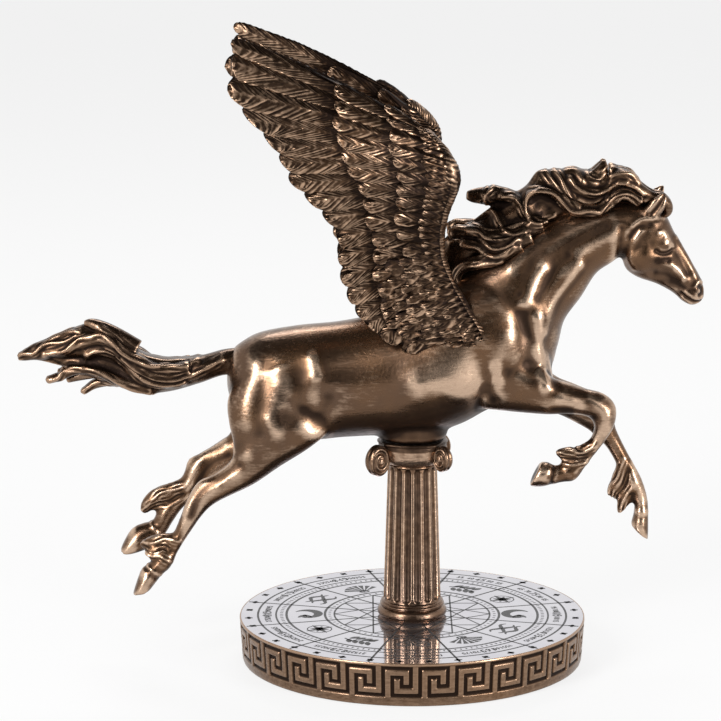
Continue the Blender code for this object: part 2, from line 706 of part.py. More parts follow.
def wing_skin(side):
    """Closed skin over both faces of a wing."""
    outer, inner = wing_grid(side)
    rings = np.concatenate([outer, inner[:, ::-1]], axis=1)
    count, sides, _ = rings.shape
    half = sides // 2
    points = rings.reshape(-1, 3)
    faces = []
    for row in range(count - 1):
        for place in range(sides):
            here, after = row * sides + place, row * sides + (place + 1) % sides
            faces.append((here, after, after + sides, here + sides))
    for row in (0, count - 1):
        for place in range(half - 1):
            start, end = row * sides + place, row * sides + sides - 1 - place
            faces.append((start, start + 1, end - 1, end))
    return points, faces


def wing(name, side, look):
    finish(add_object(name, mesh_of(name, [wing_skin(side)]), HORSE_ORIGIN), look, 50)


def pocket_skin(side):
    """Prism round the wing's root, from just under its seat outward."""
    seated = np.array(WING_FEATHERS[-SEATED_FEATHERS:], float)
    beyond = seated[-1] + (seated[-1] - seated[-2]) * 0.3
    seated = np.concatenate([seated, beyond[None]])
    places = np.concatenate([seated[:, 2], seated[::-1, 0]])
    if side < 0:
        places = np.array([swept(place) for place in places])
    outline = places[:, :2]
    middle = outline.mean(axis=0)
    away = outline - middle
    outline += away / np.linalg.norm(away, axis=1, keepdims=True) * POCKET_MARGIN
    rings = []
    for reach in (SEAT - GAP, POCKET_REACH):
        rings.append([(x, -side * reach, z) for x, z in outline])
    return skin(rings)


def horse(look):
    """Horse with mane, tail and tufts as one casting, with a seat for each wing and a dowel under its belly."""
    shapes = [ladder(part) for part in (TRUNK, NECK, HEAD, RIGHT_HIND, LEFT_HIND, RIGHT_FORE, LEFT_FORE, TAIL, MANE)]
    for path in TAIL_LOCKS + TUFTS + EARS:
        shapes.append(lock(path))
    for path in MANE_LOCKS:
        shapes.append(lock(path))
        shapes.append(lock(mirrored(path)))
    for x, z, y, radius in SWELLINGS:
        shapes.append(ball(x, z, y, radius))
        shapes.append(ball(x, z, -y, radius))
    shapes.append(turned([(10.5, 1.2), (12.5, 2.4), (13.2, 5), (13.2, 8)], 32))
    mesh = cast_in_one("horse", shapes, grain=1.1, keep=0.0445)
    body = add_object("horse", mesh, HORSE_ORIGIN)
    boss = mesh_of("boss", [turned([(DOWEL_RADIUS, -DOWEL_LENGTH), (DOWEL_RADIUS, GAP), (11, GAP), (12, 1.6), (12, 6)],
                                   32)])
    combine(body, cutter("boss", boss, HORSE_ORIGIN), "UNION")
    for name, side in (("right_pocket", 1), ("left_pocket", -1)):
        pocket = mesh_of(name, [pocket_skin(side)])
        combine(body, cutter(name, pocket, HORSE_ORIGIN), "DIFFERENCE")
    finish(body, look, 60)


def main():
    for old in list(bpy.data.objects):
        bpy.data.objects.remove(old)
    bronze = material("antique_bronze", (0.16, 0.085, 0.05), 0.36, 0.9)
    printed = material("printed_silver", (0.78, 0.78, 0.82), 0.18, 0.6)
    felt = material("brown_felt", (0.09, 0.05, 0.035), 0.95, 0.0)
    round_base(bronze)
    felt_pad(felt)
    dial_plate(printed)
    column(bronze)
    horse(bronze)
    wing("right_wing", 1, bronze)
    wing("left_wing", -1, bronze)


main()
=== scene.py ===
import math

import bmesh
import bpy
import numpy as np
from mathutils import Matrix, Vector


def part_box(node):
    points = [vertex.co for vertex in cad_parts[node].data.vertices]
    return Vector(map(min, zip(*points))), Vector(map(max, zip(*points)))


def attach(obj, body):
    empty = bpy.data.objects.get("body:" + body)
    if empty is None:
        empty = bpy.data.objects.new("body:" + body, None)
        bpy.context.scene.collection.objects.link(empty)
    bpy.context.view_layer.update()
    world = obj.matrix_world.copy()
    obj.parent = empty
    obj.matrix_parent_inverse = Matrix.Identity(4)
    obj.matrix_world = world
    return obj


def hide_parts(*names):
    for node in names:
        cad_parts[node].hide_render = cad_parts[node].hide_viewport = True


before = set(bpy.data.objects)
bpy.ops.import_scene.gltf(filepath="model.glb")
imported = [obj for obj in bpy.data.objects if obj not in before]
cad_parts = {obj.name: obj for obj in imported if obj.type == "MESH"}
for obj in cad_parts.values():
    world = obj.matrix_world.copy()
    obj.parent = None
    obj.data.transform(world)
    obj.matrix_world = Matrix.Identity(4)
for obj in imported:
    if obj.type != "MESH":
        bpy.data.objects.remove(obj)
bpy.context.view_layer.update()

# All shapes are worked out in millimetres, in a frame whose origin is the middle of the column's top for the horse and
# its wings, and the middle of the floor for the rest. Points go into metres when their mesh is made.
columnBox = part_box("column")
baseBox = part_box("round_base")
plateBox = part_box("dial_plate")
columnTop = columnBox[1][2] * 1000
plateTop = plateBox[1][2] * 1000
baseHeight = baseBox[1][2] * 1000
baseRadius = baseBox[1][0] * 1000


def smoothRows(rows, steps):
    # Catmull-Rom curve through the rows: a cubic between each two, worked out for all steps at once
    rows = np.asarray(rows, float)
    padded = np.vstack([2 * rows[0] - rows[1], rows, 2 * rows[-1] - rows[-2]])
    a, b, c, d = (padded[i:len(rows) - 1 + i, None] for i in range(4))
    t = (np.arange(steps) / steps)[None, :, None]
    curve = (2 * b + (c - a) * t + (2 * a - 5 * b + 4 * c - d) * t**2 + (3 * b - a - 3 * c + d) * t**3) / 2
    return np.vstack([curve.reshape(-1, rows.shape[1]), rows[-1]])


def gridFaces(rows, columns, closed, start=0):
    # four-cornered faces over a grid; closed joins the last column to the first
    here = np.arange(rows * columns).reshape(rows, columns) + start
    after = np.roll(here, -1, axis=1)
    if not closed:
        here, after = here[:, :-1], after[:, :-1]
    return np.stack([here[:-1], after[:-1], after[1:], here[1:]], axis=-1).reshape(-1, 4)


def tube(rings):
    # closed skin over rings of equal counts, with a point in the middle of each end
    rows, sides, _ = rings.shape
    points = np.vstack([rings.reshape(-1, 3), rings[0].mean(axis=0), rings[-1].mean(axis=0)])
    edge = np.arange(sides)
    after = (edge + 1) % sides
    foot = np.stack([after, edge, np.full(sides, rows * sides)], axis=1)
    top = np.stack([edge, after, np.full(sides, rows * sides + 1)], axis=1)
    top[:, :2] += (rows - 1) * sides
    return outward([points, gridFaces(rows, sides, True), np.vstack([foot, top])])


def fullTurn(sides):
    # equal steps round a circle, as a row
    return (np.arange(sides) * 2 * math.pi / sides)[None, :]


def turnedRings(radius, height, turn):
    # rings about the upright axis, one for each row of radius and height
    return np.stack([radius * np.cos(turn), radius * np.sin(turn), height + 0 * turn], axis=2)


def spun(points, degrees):
    # points turned about the upright axis
    angle = math.radians(degrees)
    x, y, z = points.T
    cos, sin = math.cos(angle), math.sin(angle)
    return np.stack([x * cos - y * sin, x * sin + y * cos, z], axis=1)


def outward(shell):
    # turns the faces round when the shell's signed volume is negative
    points, quads, triangles = shell
    corners = np.vstack([quads[:, [0, 1, 2]], quads[:, [0, 2, 3]], triangles])
    if np.linalg.det(points[corners]).sum() < 0:
        return [points, quads[:, ::-1], triangles[:, ::-1]]
    return shell


def joined(shells):
    # one list of points and faces out of several
    counts = np.cumsum([0] + [len(shell[0]) for shell in shells])
    points = np.vstack([shell[0] for shell in shells])
    quads = np.vstack([shell[1] + start for shell, start in zip(shells, counts)])
    triangles = np.vstack([shell[2] + start for shell, start in zip(shells, counts)])
    return [points, quads, triangles]


def meshOf(name, shell, places=None):
    # puts points, given in millimetres, and faces into a new mesh
    points, quads, triangles = shell
    mesh = bpy.data.meshes.new(name)
    mesh.vertices.add(len(points))
    mesh.vertices.foreach_set("co", (points * 0.001).astype(np.float32).ravel())
    corners = np.concatenate([quads.ravel(), triangles.ravel()]).astype(np.int32)
    mesh.loops.add(len(corners))
    mesh.loops.foreach_set("vertex_index", corners)
    starts = np.concatenate([np.arange(len(quads)) * 4, len(quads) * 4 + np.arange(len(triangles)) * 3])
    mesh.polygons.add(len(starts))
    mesh.polygons.foreach_set("loop_start", starts.astype(np.int32))
    mesh.update(calc_edges=True)
    mesh.validate()
    for key, values in (places or {}).items():
        layer = mesh.attributes.new(key, "FLOAT", "POINT")
        layer.data.foreach_set("value", np.asarray(values, np.float32))
    return mesh


def newPiece(name, shell, look, stands=(), places=None, sharpAngle=None):
    mesh = meshOf(name, shell, places)
    mesh.shade_smooth()
    if sharpAngle:
        mesh.set_sharp_from_angle(angle=math.radians(sharpAngle))
    mesh.materials.append(look)
    piece = bpy.data.objects.new(name, mesh)
    bpy.context.scene.collection.objects.link(piece)
    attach(piece, "root")
    if stands:
        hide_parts(*stands)
    return piece


def ladder(rungs, steps=6, sides=40):
    # oval sections, each as high as its rung from x, z to x, z, with a half width and a middle y
    rows = smoothRows(rungs, steps)
    turn = fullTurn(sides)
    middle, reach = (rows[:, 0:2] + rows[:, 2:4]) / 2, (rows[:, 2:4] - rows[:, 0:2]) / 2
    x = middle[:, :1] + reach[:, :1] * np.cos(turn)
    z = middle[:, 1:] + reach[:, 1:] * np.cos(turn)
    y = -rows[:, 5:6] + rows[:, 4:5] * np.sin(turn)
    return tube(np.stack([x, y, z], axis=2))


def lock(path, steps=6, sides=20):
    # oval sections square to a path in the upright plane: x, z, y, half height, half width
    rows = smoothRows(path, steps)
    along = np.gradient(rows[:, :2], axis=0)
    along /= np.linalg.norm(along, axis=1, keepdims=True)
    across = np.stack([-along[:, 1], along[:, 0]], axis=1) * rows[:, 3:4]
    rungs = np.hstack([rows[:, :2] - across, rows[:, :2] + across, rows[:, 4:5], rows[:, 2:3]])
    return ladder(rungs, steps=1, sides=sides)


def ball(x, z, y, radius, sides=20):
    # sphere as turned rings
    tilt = np.linspace(0.08, math.pi - 0.08, 14)[:, None]
    turn = fullTurn(sides)
    rings = [np.sin(tilt) * np.cos(turn), np.sin(tilt) * np.sin(turn), np.cos(tilt) + 0 * turn]
    return tube(np.stack(rings, axis=2) * radius + np.array([x, -y, z]))


def mirroredPath(path):
    return [(x, z, -y, high, wide) for x, z, y, high, wide in path]


def largestPart(shell):
    # labels spread over the faces until each closed part has one, and the part with the most points stays
    points, quads, triangles = shell
    label = np.arange(len(points))
    while True:
        spread = label.copy()
        np.minimum.at(spread, quads.ravel(), np.repeat(label[quads].min(axis=1), 4))
        spread = spread[spread]
        if (spread == label).all():
            break
        label = spread
    keep = label == np.bincount(label).argmax()
    place = np.cumsum(keep) - 1
    return [points[keep], place[quads[keep[quads[:, 0]]]], triangles]


def fused(shells, grain):
    # melts overlapping shells into one skin of even quads
    rough = bpy.data.objects.new("rough", meshOf("rough", joined(shells)))
    bpy.context.scene.collection.objects.link(rough)
    melt = rough.modifiers.new("melt", "REMESH")
    melt.mode = "VOXEL"
    melt.voxel_size = grain * 0.001
    graph = bpy.context.evaluated_depsgraph_get()
    mesh = bpy.data.meshes.new_from_object(rough.evaluated_get(graph), depsgraph=graph)
    bpy.data.objects.remove(rough)
    points = np.empty(len(mesh.vertices) * 3)
    mesh.vertices.foreach_get("co", points)
    quads = np.empty(len(mesh.loops), int)
    mesh.loops.foreach_get("vertex_index", quads)
    bpy.data.meshes.remove(mesh)
    return largestPart([points.reshape(-1, 3) * 1000, quads.reshape(-1, 4), np.empty((0, 3), int)])


def edgesOf(shell):
    _, quads, triangles = shell
    pairs = [quads[:, [i, (i + 1) % 4]] for i in range(4)] + [triangles[:, [i, (i + 1) % 3]] for i in range(3)]
    return np.unique(np.sort(np.vstack(pairs), axis=1), axis=0)


def neighbourMean(values, edges, count):
    # mean of the neighbours of each point, for each column of values
    a, b = edges[:, 0], edges[:, 1]
    number = np.bincount(a, minlength=count) + np.bincount(b, minlength=count)
    columns = []
    for column in values.T:
        total = np.bincount(a, column[b], count) + np.bincount(b, column[a], count)
        columns.append(total / np.maximum(number, 1))
    return np.stack(columns, axis=1)


def relaxed(shell, rounds, weight=None):
    # each point moves half way to the mean of its neighbours, as often as rounds says
    points, quads, triangles = shell
    edges = edgesOf(shell)
    share = 0.5 if weight is None else 0.5 * weight[:, None]
    for _ in range(rounds):
        points = points + (neighbourMean(points, edges, len(points)) - points) * share
    return [points, quads, triangles]


def normalsOf(shell):
    # sum of the face normals round each point
    points, quads, triangles = shell
    total = np.zeros_like(points)
    for faces in (quads, triangles):
        if not len(faces):
            continue
        side = np.cross(points[faces[:, 2]] - points[faces[:, 0]], points[faces[:, -1]] - points[faces[:, 1]])
        if faces.shape[1] == 3:
            side = np.cross(points[faces[:, 1]] - points[faces[:, 0]], points[faces[:, 2]] - points[faces[:, 0]])
        for corner in range(faces.shape[1]):
            for axis in range(3):
                total[:, axis] += np.bincount(faces[:, corner], side[:, axis], len(points))
    return total / np.maximum(np.linalg.norm(total, axis=1, keepdims=True), 1e-9)


def towards(x, z, path):
    # distance in the upright plane to a bent line, with its sign for the side, and how far the nearest place on the
    # line is from its nearer end and from its start
    path = smoothRows(path, 5) if len(path) > 2 else np.asarray(path, float)
    best = np.full(len(x), 1e9)
    sign, walk = np.ones((2, len(x)))
    walked = 0.0
    for start, end in zip(path, path[1:]):
        leg = end - start
        length = max(leg @ leg, 1e-9)
        share = np.clip(((x - start[0]) * leg[0] + (z - start[1]) * leg[1]) / length, 0, 1)
        dx, dz = x - start[0] - share * leg[0], z - start[1] - share * leg[1]
        gap = np.hypot(dx, dz)
        nearer = gap < best
        best = np.where(nearer, gap, best)
        sign = np.where(nearer, np.sign(leg[0] * dz - leg[1] * dx), sign)
        walk = np.where(nearer, walked + share * math.sqrt(length), walk)
        walked += math.sqrt(length)
    return best, sign, np.minimum(walk, walked - walk), walk


def carved(shell, strokes, facing=0.25, wide=1.0, high=1.0, crest=2.0, fine=0.16, summed=True):
    # raises or sinks the skin along drawn lines: height times a bell curve of the distance to the line, on the faces
    # that look sideways. A stroke is its line, radius, height, side (1 right, -1 left, 0 both) and strands, the spacing
    # of the fine hair lines that run beside it; a low crest power gives the ridge a sharp top.
    points, quads, triangles = shell
    normals = normalsOf(shell)
    moved, ridge, furrow = np.zeros((3, len(points)))
    look = np.clip((np.abs(normals[:, 1]) - 0.05) / facing, 0, 1)
    for stroke in strokes:
        path, radius, height, side, strands = (tuple(stroke) + (0, 0))[:5]
        radius, height = radius * wide, height * high
        line = np.asarray(path, float)
        near = (points[:, 0] > line[:, 0].min() - 3 * radius) & (points[:, 0] < line[:, 0].max() + 3 * radius)
        near &= (points[:, 2] > line[:, 1].min() - 3 * radius) & (points[:, 2] < line[:, 1].max() + 3 * radius)
        if side:
            near &= points[:, 1] * side < 0
        where = np.nonzero(near)[0]
        gap, sign, inside, walk = towards(points[where, 0], points[where, 2], line)
        rise = height * np.exp(-(gap / radius) ** crest)
        if strands:
            phase = gap * sign * 2 * math.pi / (1.35 * strands) + 0.9 * np.sin(walk * 0.45 + line[0, 0])
            fade = np.clip(inside / (1.5 * radius), 0, 1) * (0.6 + 0.4 * np.sin(walk * 0.8 + line[0, 1]))
            rise = rise + fine * fade * np.cos(phase) * np.exp(-(gap / (1.6 * radius)) ** 4)
        if summed:
            moved[where] += rise
        elif height > 0:
            ridge[where] = np.maximum(ridge[where], rise)
        else:
            furrow[where] = np.minimum(furrow[where], rise)
    moved = (moved + ridge + furrow) * look
    return [points + normals * moved[:, None], quads, triangles]


def reliefOf(shell, rounds=3):
    # how far each point stands out from the mean of its surroundings, in millimetres: edges above 0, hollows below
    points = shell[0]
    edges = edgesOf(shell)
    normals = normalsOf(shell)
    soft = points
    for _ in range(rounds):
        soft = neighbourMean(soft, edges, len(points))
    relief = ((points - soft) * normals).sum(axis=1)
    return neighbourMean(relief[:, None], edges, len(points))[:, 0] * 0.5 + relief * 0.5


# Body of the horse: rungs from the belly line to the back line as x, z, x, z, half width, y of the middle
horseBody = {
    "trunk": [
        (-70, 20, -70, 28, 4, 0),
        (-68, 13, -68, 34, 10, 0),
        (-63, 7, -64, 37.5, 14.5, 0),
        (-55, 1.5, -57, 41, 18.5, 0),
        (-43, -0.5, -43, 43.5, 20.5, 0),
        (-28, 0.8, -28, 45, 20.5, 0),
        (-13, 1.6, -13, 48, 21.5, 0),
        (3, 1.6, 2, 53, 22.5, 0),
        (18, 6, 14, 62, 22.5, 0),
        (30, 12.3, 26, 68, 21.5, 0),
        (40, 13.5, 34, 68, 20, 0),
        (48, 15, 40, 62, 17, 0),
        (53, 24, 46, 54, 12, 0),
    ],
    "neck": [
        (30, 20, 6, 56, 19, 0),
        (50, 26, 20, 68, 18, 0),
        (54.5, 36, 32, 76, 16.5, 0),
        (57, 46, 42, 80.5, 14, 0),
        (63, 54.5, 51, 85, 12, 0),
        (68.5, 63.5, 59, 88.5, 10.5, 0),
        (74, 67.5, 68, 90.5, 9.3, 0),
        (79, 71, 77, 91.5, 8.8, 0),
        (84, 73, 85, 91, 7.5, 0),
    ],
    "head": [
        (79, 75, 83, 91.5, 7.4, 0),
        (78.5, 69, 89.5, 90.5, 8.6, 0),
        (80, 65, 94.5, 86, 8.8, 0),
        (84.5, 62, 97.5, 80, 8, 0),
        (90.5, 60, 101, 74, 6.4, 0),
        (95, 57.8, 104.5, 68, 5.4, 0),
        (98.5, 55.5, 107.5, 63, 5, 0),
        (100.5, 53.5, 109.2, 58.5, 5, 0),
        (103, 52, 109.3, 55.5, 4.2, 0),
        (105, 51.5, 109, 53.2, 2.8, 0),
    ],
    "rightHind": [
        (-66, 26, -34, 36, 9, 9),
        (-69.5, 18, -31, 18, 9.5, 11),
        (-69.3, 10, -31.5, 8, 9, 12.5),
        (-67.5, 1, -37, 1, 8, 13.5),
        (-68, -5, -50, -7.5, 6.2, 14),
        (-74.5, -10.5, -60, -14.5, 5, 14),
        (-80, -13, -73, -21, 4.3, 14),
        (-84, -18.5, -78.5, -25.6, 4, 14),
        (-88.4, -29, -83.2, -32.2, 3.2, 14),
        (-92, -37, -88.2, -40, 3, 14),
        (-96.5, -42, -91.3, -46.5, 4.2, 14),
        (-100, -45.5, -94.5, -49.5, 3.8, 14),
        (-102.3, -47, -96, -51.5, 4.4, 14),
        (-104.3, -52, -98, -54, 4.9, 14),
        (-106, -57.5, -99.5, -56, 5.2, 14),
    ],
    "leftHind": [
        (-66, 26, -34, 36, 9, -9),
        (-69.5, 16, -31, 16, 9.5, -11),
        (-69, 6, -33, 5, 8.6, -12.5),
        (-69.5, -1, -44, -5, 7, -13.5),
        (-74, -5, -57, -13, 5.5, -14),
        (-80.8, -9.2, -68, -19, 4.6, -14),
        (-85.6, -11.6, -78, -23, 4.2, -14),
        (-87.6, -17.4, -83.5, -27, 3.6, -14),
        (-92, -24.4, -88, -31, 3.2, -14),
        (-97, -30.4, -91.8, -36.4, 4, -14),
        (-99.6, -35.8, -94, -40.2, 3.4, -14),
        (-103.6, -37, -96, -43, 4.2, -14),
        (-107.6, -39, -99.8, -46, 4.9, -14),
        (-110.2, -43, -104, -48, 5.1, -14),
        (-112.6, -48.2, -108, -49, 4.8, -14),
    ],
    "rightFore": [
        (26, 44, 26, 14, 8, 11),
        (38, 40, 38, 13, 7.4, 11.8),
        (50, 28, 49.5, 12.5, 6.6, 13.6),
        (57, 25, 57, 12.8, 5.8, 14),
        (64, 22.5, 63.5, 12.2, 5, 14),
        (71.5, 20.5, 67, 10.5, 4.8, 14),
        (76, 15.5, 67.8, 7.5, 4.7, 14),
        (75.5, 8.5, 67.2, 5, 4.2, 14),
        (72.5, 3, 65.5, 1.5, 3.5, 14),
        (68, -3, 62.5, -1, 3.1, 14),
        (64.5, -8, 59, -4.5, 3, 14),
        (61, -12.8, 56, -6.5, 3.9, 14),
        (56.5, -13.5, 54.5, -7, 3.4, 14),
        (51, -14.8, 53, -7, 4.2, 14),
        (47, -15.4, 51, -6, 4.7, 14),
        (43.5, -15, 48, -5.5, 5, 14),
    ],
    "leftFore": [
        (26, 42, 28, 15, 8, -11),
        (42, 32, 42, 8.5, 8.5, -12.5),
        (54, 21.5, 54.5, 6.5, 6.6, -14),
        (62, 18, 62, 3, 5.3, -14),
        (71.5, 13.5, 68, -0.5, 4.8, -14),
        (76.5, 6.5, 70, -2.8, 4.6, -14),
        (77.8, 1, 71.5, -4, 4, -14),
        (80.5, -5, 74.5, -7, 3.2, -14),
        (84.2, -12, 78.5, -14, 3.1, -14),
        (88, -19, 81.8, -21, 3.9, -14),
        (90.3, -26, 84.5, -26, 3.4, -14),
        (90.8, -31, 85.5, -30.5, 3.8, -14),
        (91, -37, 84.8, -34.5, 4.5, -14),
        (91, -44, 84, -37.5, 5, -14),
    ],
    "boss": [(12.6, 0.35), (13.0, 1.0), (13.4, 4), (13.8, 9)],  # radius and height of its rings
    "grain": 0.88,  # size of the faces
    "softening": 4,
    # boxes in which the faces are halved: head, hind tufts, fore tufts
    "finer": [((76, -14, 50), (112, 14, 99)), ((-106, -22, -48), (-87, 22, -19)), ((50, -22, -36), (84, 22, 3))],
    "muscleWidth": 1.15,
    "muscleHeight": 0.62,
    "hairFine": 0.34,
}
# Tufts and ears: paths as x, z, y, half height, half width. Bumps: x, z, y, radius. Both are melted into the body.
bodyTufts = [
    [(-90, -37, 14, 3.4, 3.2), (-95.5, -37.2, 12.5, 3.2, 3), (-100.5, -38.4, 11.5, 2.2, 2.2),
     (-103, -38.8, 11.5, 0.9, 0.9)],
    [(-92, -42.4, 14, 4, 3.6), (-97, -40.9, 14, 3.2, 3), (-101, -40.8, 14, 1.5, 1.5)],
    [(-87, -22, -14, 3, 3), (-92.6, -24.6, -14, 3.6, 3.2), (-98, -27, -14, 3.8, 3), (-101.6, -30, -14, 2.8, 2.4),
     (-103, -32.8, -14, 1.6, 1.6)],
    [(67.5, 0.2, 14, 3, 2.6), (62.5, -2.6, 14, 3, 2.8), (58, -3, 14, 2.6, 2.6), (55, -2.6, 14, 1.9, 2),
     (53.6, -3, 14, 1.2, 1.2)],
    [(82, -12, -14, 3, 2.8), (80.4, -19, -14, 3.6, 3.2), (78, -24, -14, 3, 2.8), (76.2, -26.2, -14, 1.9, 1.8)],
    [(85, -20, -14, 3.2, 3), (82, -27, -14, 2.8, 2.6), (80, -31.4, -14, 1.6, 1.6), (79.4, -33, -14, 0.8, 0.8)],
]
bodyEars = [
    [(87.2, 86.5, 5.4, 3.2, 2.2), (89.9, 89.6, 6.6, 3.4, 2.0), (92, 92.6, 7.0, 2.7, 1.6), (94, 95.6, 6.9, 0.8, 0.6)],
    [(87.8, 87, -5.4, 3.2, 2.2), (90.6, 91.2, -6.4, 3.2, 1.9), (92.7, 94, -6.6, 2.3, 1.4),
     (94.4, 96.4, -6.4, 0.7, 0.6)],
]
bodyBumps = [(92.8, 76, 5.2, 3.1), (106.4, 57.4, 3.4, 2.0), (86, 71.4, 2.4, 7.4)]

# Muscles, veins and folds: line, radius, height, side
muscles = [
    ([(-37.6, 34.9), (-36.1, 29)], 2.4, 1.3, 0),
    ([(-49.2, 25.8), (-47.6, 18.3)], 4.6, 0.9, 0),
    ([(-43, 28), (-42.4, 21.5), (-40.3, 16.1)], 3.8, -1.2, 0),
    ([(-47, 14), (-42.4, 10.8)], 3.2, -0.9, 0),
    ([(-60.1, 32.2), (-61.7, 26.9), (-63.3, 18.3), (-63.3, 10.8)], 3.8, 0.7, 0),
    ([(-55, 32), (-56, 20), (-57.5, 7)], 3, -0.8, 0),
    ([(-53.9, 11.8), (-50.8, 7.5)], 3, 0.9, 0),
    ([(-41.4, 9.2), (-36.2, 5.4), (-32, 5.4)], 2.8, 1.1, 0),
    ([(-31.9, 19.4), (-34, 14), (-36.1, 9.7)], 3.6, -1.3, 0),
    ([(3, 25), (11, 26.4), (16.6, 24)], 6.4, 3.2, 0),
    ([(24.6, 37), (25.6, 30)], 3.4, -0.7, 0),
    ([(27.6, 23), (29.6, 18.4)], 2.4, -1.4, 0),
    ([(30.6, 32.4), (31.4, 27)], 2.0, 1.5, 0),
    ([(33, 37), (34.6, 43)], 3.2, 0.7, 0),
    ([(46.4, 50), (46.4, 40), (47.8, 31), (49.4, 24.6)], 2.0, 2.2, 0),
    ([(40.5, 51), (41.2, 40), (43.2, 31)], 2.7, -1.2, 0),
    ([(-74, -7.6), (-67.7, -5.4), (-62.4, -2.2)], 2.8, 0.9, 1),
    ([(-85.7, -24.9), (-82.4, -15.1), (-75, -7.6), (-67.6, -1.1)], 1.1, 0.7, 1),
    ([(-83.5, -26), (-80, -17.5), (-72.5, -11), (-65, -6)], 1.4, -0.7, 1),
    ([(-86, -21), (-80, -9.5), (-72, -4)], 1.2, 0.6, -1),
    ([(-84, -24), (-78, -14), (-70, -9)], 1.5, -0.7, -1),
    ([(47.6, 80.2), (43.3, 75.8), (36.8, 68)], 2.8, 1.1, 0),
    ([(47.8, 68.1), (44.5, 62.6), (41.2, 56.3)], 2.2, 1.7, 0),
    ([(62, 68.6), (57.9, 63.4), (52, 55), (48.6, 44)], 1.5, 1.0, 0),
    ([(70.6, 80.8), (63.5, 75.8), (57.1, 67.4)], 3.6, 0.9, 0),
    ([(71.6, 82.6), (60.8, 77), (52.6, 71.6), (46.5, 64.2), (41, 58)], 2.6, -1.3, 0),
    ([(58, 72), (52, 66), (46.5, 57)], 1.9, -1.1, 0),
    ([(81.8, 83.2), (84.9, 85.6), (89.6, 85.8), (93, 85)], 1.0, 1.0, 0),
    ([(80.6, 79), (83.8, 82.6), (88, 83.2)], 1.0, -0.8, 0),
    ([(84.6, 81), (81.8, 76), (80.7, 71), (82.4, 66.6)], 1.1, 0.7, 0),
    ([(77.4, 82), (77.4, 76.6), (77.4, 71)], 1.5, -1.1, 0),
    ([(85, 79.5), (84, 74), (85.4, 68.6)], 2.6, -0.45, 0),
    ([(91.6, 80.4), (93.4, 80.4), (95, 78), (96.6, 74.4)], 1.0, 0.75, 0),
    ([(88.6, 77), (89.2, 74.6), (90.6, 73.4)], 1.2, -0.35, 0),
    ([(90.6, 73.8), (92, 72.8), (93.8, 72.5), (95.4, 72.8), (96.6, 73.8)], 0.6, -1.3, 0),
    ([(93.6, 70), (95, 69.8)], 0.8, -0.7, 0),
    ([(91, 69.4), (94.4, 69.2)], 0.9, -0.5, 0),
    ([(93.8, 69), (96.6, 67.6), (99.4, 65), (101, 62.6)], 1.3, 1.2, 0),
    ([(98.2, 77.4), (100.2, 73.6), (102.8, 69), (105, 64.2), (106.8, 60.6)], 0.9, 1.0, 0),
    ([(97.6, 73.6), (100.4, 69), (102.8, 64.6)], 1.2, -0.8, 0),
    ([(91, 64.6), (94.6, 64), (98, 61.4), (100.6, 58.6)], 1.7, -1.2, 0),
    ([(94.8, 60.4), (98.2, 58.4)], 1.2, 0.6, 0),
    ([(107.2, 59.6), (108.4, 58.4), (108.4, 56.8), (107.4, 56)], 0.65, -1.6, 0),
    ([(105.6, 59.6), (106.6, 60.9), (108.4, 60.2)], 0.6, 0.8, 0),
    ([(105.8, 57.2), (106.4, 55.4), (108.2, 55)], 0.6, 0.6, 0),
    ([(100.2, 56.6), (103.2, 54.6), (106, 53.4), (108.6, 53.6)], 0.5, -1.3, 0),
    ([(100.4, 58.2), (103.6, 56.4), (106, 55)], 0.7, 0.5, 0),
    ([(101, 54.6), (104, 52.6)], 0.7, 0.4, 0),
    ([(88.6, 87.4), (90.6, 90), (92.2, 92.6), (93.4, 94.6)], 1.0, -1.7, 0),
    ([(-68.9, 36.5), (-69.5, 29)], 0.9, -0.8, 0),
    ([(66, 20), (71, 14), (72, 8)], 1.6, 0.5, 1),
    ([(55, 20), (62, 17)], 2.0, 0.6, 1),
    ([(52, 15.5), (62, 14.6), (67, 12)], 1.2, -0.5, 1),
    ([(70, 2), (65.5, -4), (61, -9)], 0.8, 0.5, 1),
    ([(-100, -45.8), (-94.7, -49.8)], 0.6, 0.7, 1),
    ([(-101.2, -46.6), (-95.6, -50.8)], 0.5, -0.5, 1),
    ([(53, -7), (51.6, -14.6)], 0.6, -0.9, 1),
    ([(50.4, -8), (49, -11)], 1.2, 0.6, 1),
    ([(-103.5, -31.5), (-97.5, -40.4)], 0.6, 0.7, -1),
    ([(84.9, -31.5), (91.2, -32.2)], 0.6, 0.7, -1),
]
# Curls of hair on the fetlocks
fetlockHair = [
    ([(-88, -36), (-93, -35.4), (-98, -37), (-103, -37.6)], 1.2, 0.4, 1, 1.1),
    ([(-90, -40), (-94, -38.2), (-98, -39.6), (-102, -39)], 1.2, -0.4, 1, 1.0),
    ([(-91, -44), (-95, -41.6), (-99, -42), (-102, -40.6)], 1.2, 0.4, 1, 1.1),
    ([(-85, -21), (-91, -23), (-97, -25), (-102, -30)], 1.5, 0.3, -1, 1.1),
    ([(-88, -25), (-93, -28), (-98, -29), (-103, -33)], 1.4, -0.4, -1, 1.0),
    ([(68, 1), (63, -1.8), (58, -0.8), (54, -2.2)], 1.2, 0.4, 1, 1.1),
    ([(67, -2), (62, -3.4), (58, -3.8), (54, -3)], 1.2, -0.4, 1, 1.0),
    ([(65, -5.4), (60, -6.2), (56, -6)], 1.1, 0.4, 1, 1.1),
    ([(81, -11), (79, -18), (76, -22), (75.6, -27)], 1.3, 0.4, -1, 1.1),
    ([(83, -15), (81, -21), (78.4, -25), (77.6, -29)], 1.2, -0.5, -1, 1.0),
    ([(85, -20), (81.8, -26), (80, -32)], 1.2, 0.4, -1, 1.1),
]


